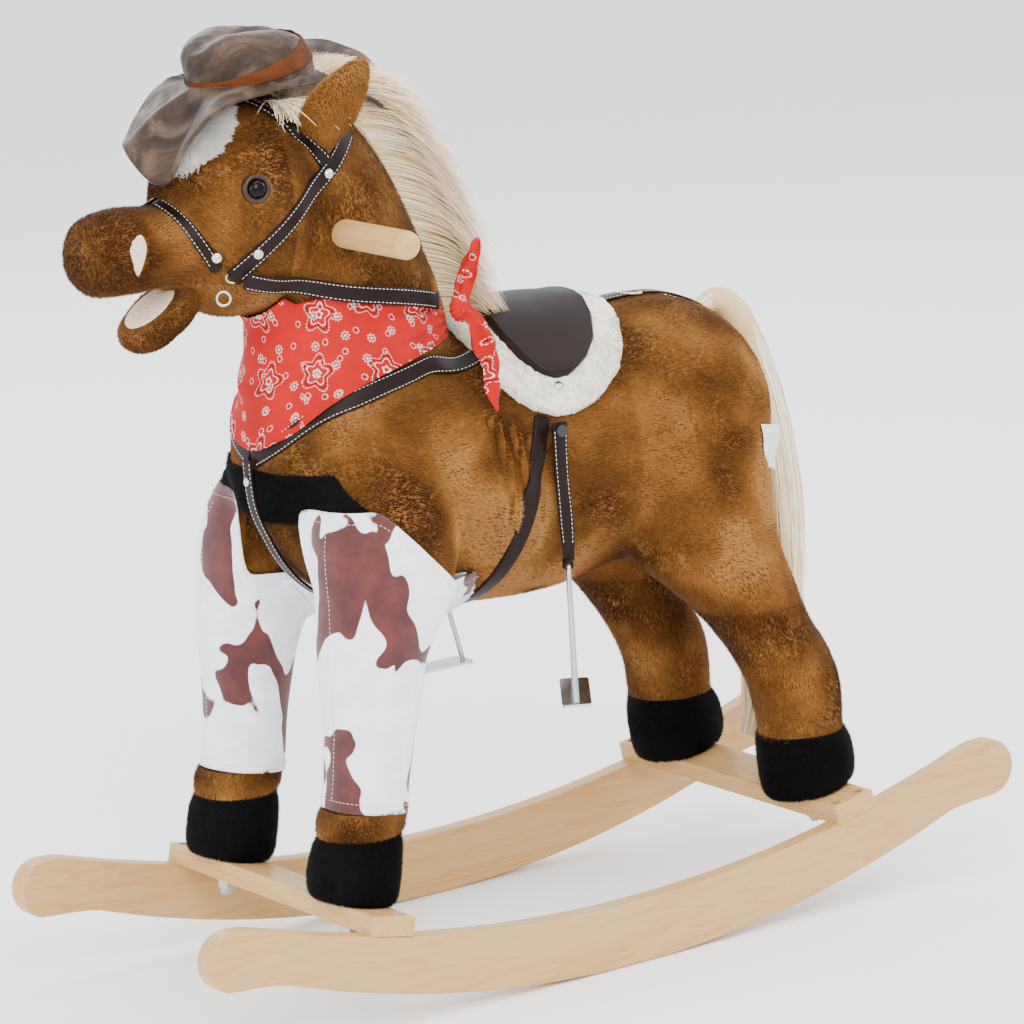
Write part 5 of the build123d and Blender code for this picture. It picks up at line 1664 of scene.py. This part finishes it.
def body_fur(base, covers, materials, white):
    """Pile all over the skin, except where cloth, straps or the saddle lie on it."""
    roots, normals = bare_roots(base, 0.95, 3, covers, PILE_ROOM)
    z = roots[:, 2] / MM
    blaze = in_blaze(roots)
    shades = pick_shades(roots, len(materials), 3, shift=tone_and_painted_light_shift(roots), contrast=0.85)
    flow = nap_flow(roots)
    upper = (z > 455) & ~blaze
    legs = (z < 290) & ~blaze
    middle = ~upper & ~legs & ~blaze
    for name, part in (("head_and_neck_pile", upper), ("torso_pile", middle), ("leg_pile", legs)):
        fur = blades(name, roots[part], normals[part], flow[part], 0.0042, 0.00105, materials, 3,
                     shades=shades[part])
        place_piece(fur, "horse", "brown_plush")
    roots, normals = bare_roots(base, 5.0, 23, covers, PILE_ROOM, in_blaze)
    patch = blades("blaze_pile", roots, normals, nap_flow(roots), 0.0055, 0.0011, white, 23)
    place_piece(patch, "horse", "white_plush", "blaze")


def main():
    brown = shade_materials("brown_pile", PLUSH_SHADES)
    black = shade_materials("black_pile", ("030303", "050506", "09090A", "0E0E0F"), 0.9, 0.03)
    white = shade_materials("white_pile", ("E8E5DD", "F4F2EC", "FCFBF8"))
    hair = shade_materials("cream_hair", HAIR_SHADES, 0.55, 0.1)
    skin = plush_skin_material("brown_plush_skin", PLUSH_SHADES)
    black_skin = plush_skin_material("black_plush_skin",
                                     ("030303", "050505", "070708", "070708", "0A0A0B", "0D0D0E"),
                                     sheen=0.03)
    cream_skin = plush_skin_material("cream_backing",
                                     ("BF9F6C", "CBAB77", "D6B986", "DDC292", "E4CC9E", "EBD5AB"))
    vinyl = vinyl_material("brown_vinyl", "150B0A")
    thread = thread_material()
    nickel = metal_material("nickel", "D8D6D0")
    cow, paisley = cow_material(), paisley_material()
    velour = velour_material("taupe_velour", "1F1611", "36291F", "5C493C")
    beige = tufted_material("beige_velour", "D2BA9E", "EBD8C0", 600.0)

    body = build_body()
    sew_body(body)
    body.data.materials.append(skin)
    place_piece(body, "horse", "brown_plush", "torso", "neck", "head", "muzzle", "ears",
                "front_legs", "rear_legs")
    tree = tree_of([body])

    covers = list(build_saddle())
    fleece_fur(covers[0], covers[1])
    chaps, chap_threads = [], []
    for side, name in ((1, "left_chap"), (-1, "right_chap")):
        chap, outside, radial = build_chap(side, name, tree, cow)
        place_piece(chap, "horse", "cow_print_cloth", *(["chaps"] if side > 0 else []))
        chap_threads += chap_stitches(outside, radial, side)
        chaps.append(chap)
    covers += chaps
    place_piece(shells_object("chap_stitching", chap_threads, thread), "horse", "cow_print_cloth")

    bandana = build_bandana(tree, paisley)
    knot = build_knot(paisley)
    covers += [bandana, *knot]
    hat = build_hat(velour, ribbon_material())
    covers += list(hat)

    threads, rivets = [], []

    def tack(name, route, width, thickness=1.8, lift=1.1, nodes=(), stitched=True):
        obj, line = strap(name, route, tree, width, thickness, lift, vinyl)
        place_piece(obj, "horse", "brown_vinyl", *nodes)
        covers.append(obj)
        if stitched:
            threads.extend(stitch_shells(line, width))
        return line

    for side in (1, -1):
        s = "left" if side > 0 else "right"

        def on_side(route):
            return [(x, side * y, z) for x, y, z in route]

        tack(f"{s}_cheek_strap", on_side([(140, 40, 640), (168, 52, 614), (206, 61, 588),
                                          (238, 55, 562), (250, 44, 550)]),
             12.5, nodes=("bridle",) if side > 0 else ())
        tack(f"{s}_brow_strap", on_side([(222, 8, 671), (204, 28, 663), (184, 42, 645),
                                         (168, 52, 620)]), 10.5)
        tack(f"{s}_nose_strap", on_side([(283, 3, 600), (277, 24, 588), (268, 38, 570),
                                         (260, 40, 556)]), 9.5)
        tack(f"{s}_rein", on_side([(243, 46, 550), (214, 54, 538), (166, 60, 526), (120, 64, 517),
                                   (78, 60, 508)]), 13,
             lift=6.0, nodes=("reins",) if side > 0 else ())
        tack(f"{s}_breast_collar", on_side([(212, 3, 405), (204, 28, 418), (186, 48, 436),
                                            (160, 66, 451), (110, 72, 462),
                                            (60, 62, 468), (46, 56, 470)]), 14,
             nodes=("breast_collar",) if side > 0 else ())
        tack(f"{s}_girth", on_side([(20, 88, 414), (34, 96, 380), (46, 90, 330), (56, 66, 285),
                                    (60, 30, 270), (61, 2, 268)]),
             13, lift=1.0, nodes=("girth_strap",) if side > 0 else (), stitched=False)
        for spot in ((168, 60, 614), (238, 64, 564), (266, 50, 565), (4, 90, 436)):
            place, normal, _, _ = tree_of(covers).find_nearest(Vector(on_side([spot])[0]) * MM)
            rivets.append(rivet_shell(np.array(place), np.array(normal), 3.6))
    tack("breast_strap", [(214, 0, 404), (222, 0, 392), (218, 0, 372), (208, 0, 340), (190, 0, 305),
                          (160, 0, 276)], 11, lift=5.0)
    tack("crupper", [(-84, 0, 474), (-119, 0, 474), (-160, 0, 468), (-187, 0, 456), (-206, 0, 444)],
         12, nodes=("crupper_strap",))
    place_piece(shells_object("strap_stitching", threads, thread), "horse", "brown_vinyl")

    rings = []
    for side in (1, -1):
        rings.append(torus(np.array((0.260, side * 0.045, 0.535)), (0.45, side, 0.15), 4.9 * MM,
                           1.0 * MM))
        rings.append(torus(np.array((0.252, side * 0.046, 0.549)), (0.45, side, 0.1), 3.4 * MM,
                           0.9 * MM, stretch=1.3))
    rings.append(torus(np.array((-0.128, 0.0, 0.4745)), (-0.1, 0, 1), 7.5 * MM, 1.2 * MM,
                       stretch=1.2))
    rings.append(rivet_shell(np.array((0.2245, 0.0, 0.388)), (1, 0, 0.1), 3.2))
    fittings = shells_object("rings_and_rivets", rings + rivets, nickel)
    place_piece(fittings, "horse", "nickel_fittings", "bridle_hardware")

    belt_upper = [(193, 69, 397), (206, 44, 396), (214, 0, 396)]
    belt_lower = [(173, 81, 363), (195, 56, 361), (207, 0, 361)]
    grid, normals = band_grid(tree, mirror_route(belt_upper[::-1]), mirror_route(belt_lower[::-1]),
                              24, 120)
    edge = np.minimum(np.linspace(0, 1, 24), np.linspace(1, 0, 24))[:, None] * 36
    puff = 1.0 + 3.2 * np.sqrt(np.clip(1 - (1 - np.clip(edge / 6, 0, 1)) ** 2, 0, 1))
    belt = grid_shell("chaps_belt_pad", grid + normals
                      * (puff * np.ones(grid.shape[:2]))[..., None] * MM,
                      grid + normals * 0.3 * MM, [black_skin])
    place_piece(belt, "horse", "black_plush", "chaps_belt")
    covers.append(belt)
    band_fur("chaps_belt_pile", belt, black, 17, "black_plush", 1.6)

    hooves = build_bands("hoof_pads", (FRONT_HOOF, REAR_HOOF), black_skin, "black_plush",
                         ("hooves",))
    band_fur("hoof_pile", hooves, black, 18, "black_plush", 1.5)
    cuffs = build_bands("leg_cuff_pads", (CUFF,), skin, "brown_plush", ("leg_cuffs",))
    band_fur("leg_cuff_pile", cuffs, brown, 19, "brown_plush", 1.3, shift=-0.05)

    eyes = []
    for side in (1, -1):
        eyes += build_eye(side, tree, eye_material(), ring_material())
    covers += eyes
    for side, s in ((1, "left"), (-1, "right")):
        drop = [(317, 36, 591), (324, 38, 588), (329, 39, 580), (327, 39, 567), (323, 38, 556),
                (319, 37, 567), (315, 37, 580)]
        patch = patch_on(f"{s}_nostril_patch", tree, [(x, side * y, z) for x, y, z in drop], 1.6,
                         beige)
        place_piece(patch, "horse", "beige_velour", *(["nostril_patches"] if side > 0 else []))
        covers.append(patch)

    body_fur(body, tree_of(covers), brown, white)
    build_jaw(brown, skin, beige, 29)

    build_mane(hair, cream_skin)
    build_tail(hair, cream_skin)
    build_forelock(hair)
    build_leather(1, 304.0, -34.0, vinyl, thread)
    build_leather(-1, 296.0, 90.0, vinyl, thread)
    label = build_label(tree, plastic_material("label_cloth", "D9D9D5", 0.8))

    finish_cad_nodes()


def finish_cad_nodes():
    """Give every CAD node that still shows, and those inside, a finish of its own."""
    zinc = metal_material("zinc", "B9B9B4", 0.34)
    plated = metal_material("plated_steel", "C6CBCE", 0.18)
    tube_black = plastic_material("powder_coat", "17181A", 0.42)
    black = plastic_material("moulded_black", "1A1A1B", 0.55)
    green = plastic_material("solder_mask", "1F6B3A", 0.35)
    cells = plastic_material("cell_wrap", "2A2B33", 0.3)
    finishes = dict.fromkeys(("crossbar_screws", "leg_bolts", "leg_nuts", "frame_clips",
                              "jaw_bracket", "tail_pin"), zinc)
    finishes |= dict.fromkeys(("leather_pins", "sound_box", "battery_door", "speaker",
                               "mouth_drive", "tail_drive",
                               "ear_button"), black)
    finishes |= {
        "left_rocker": wood_material("pine_left", 0),
        "right_rocker": wood_material("pine_right", 0, (3.1, 1.7, 0.4)),
        "front_crossbar": wood_material("pine_front", 1, (0.7, 2.2, 1.1)),
        "rear_crossbar": wood_material("pine_rear", 1, (5.3, 0.9, 2.7)),
        "handle_bar": wood_material("pine_handle", 1, (2.9, 4.1, 3.3)),
        "spine_board": wood_material("birch_spine", 0, (1.3, 3.3, 2.1)),
        "neck_board": wood_material("birch_neck", 2, (4.4, 0.3, 1.9)),
        "left_stirrup": plated, "right_stirrup": plated,
        "front_leg_frame": tube_black, "rear_leg_frame": tube_black, "batteries": cells,
        "circuit_board": green,
    }
    for node, material in finishes.items():
        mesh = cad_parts[node].data
        mesh.materials.clear()
        mesh.materials.append(material)


add_camera()
add_studio()
main()
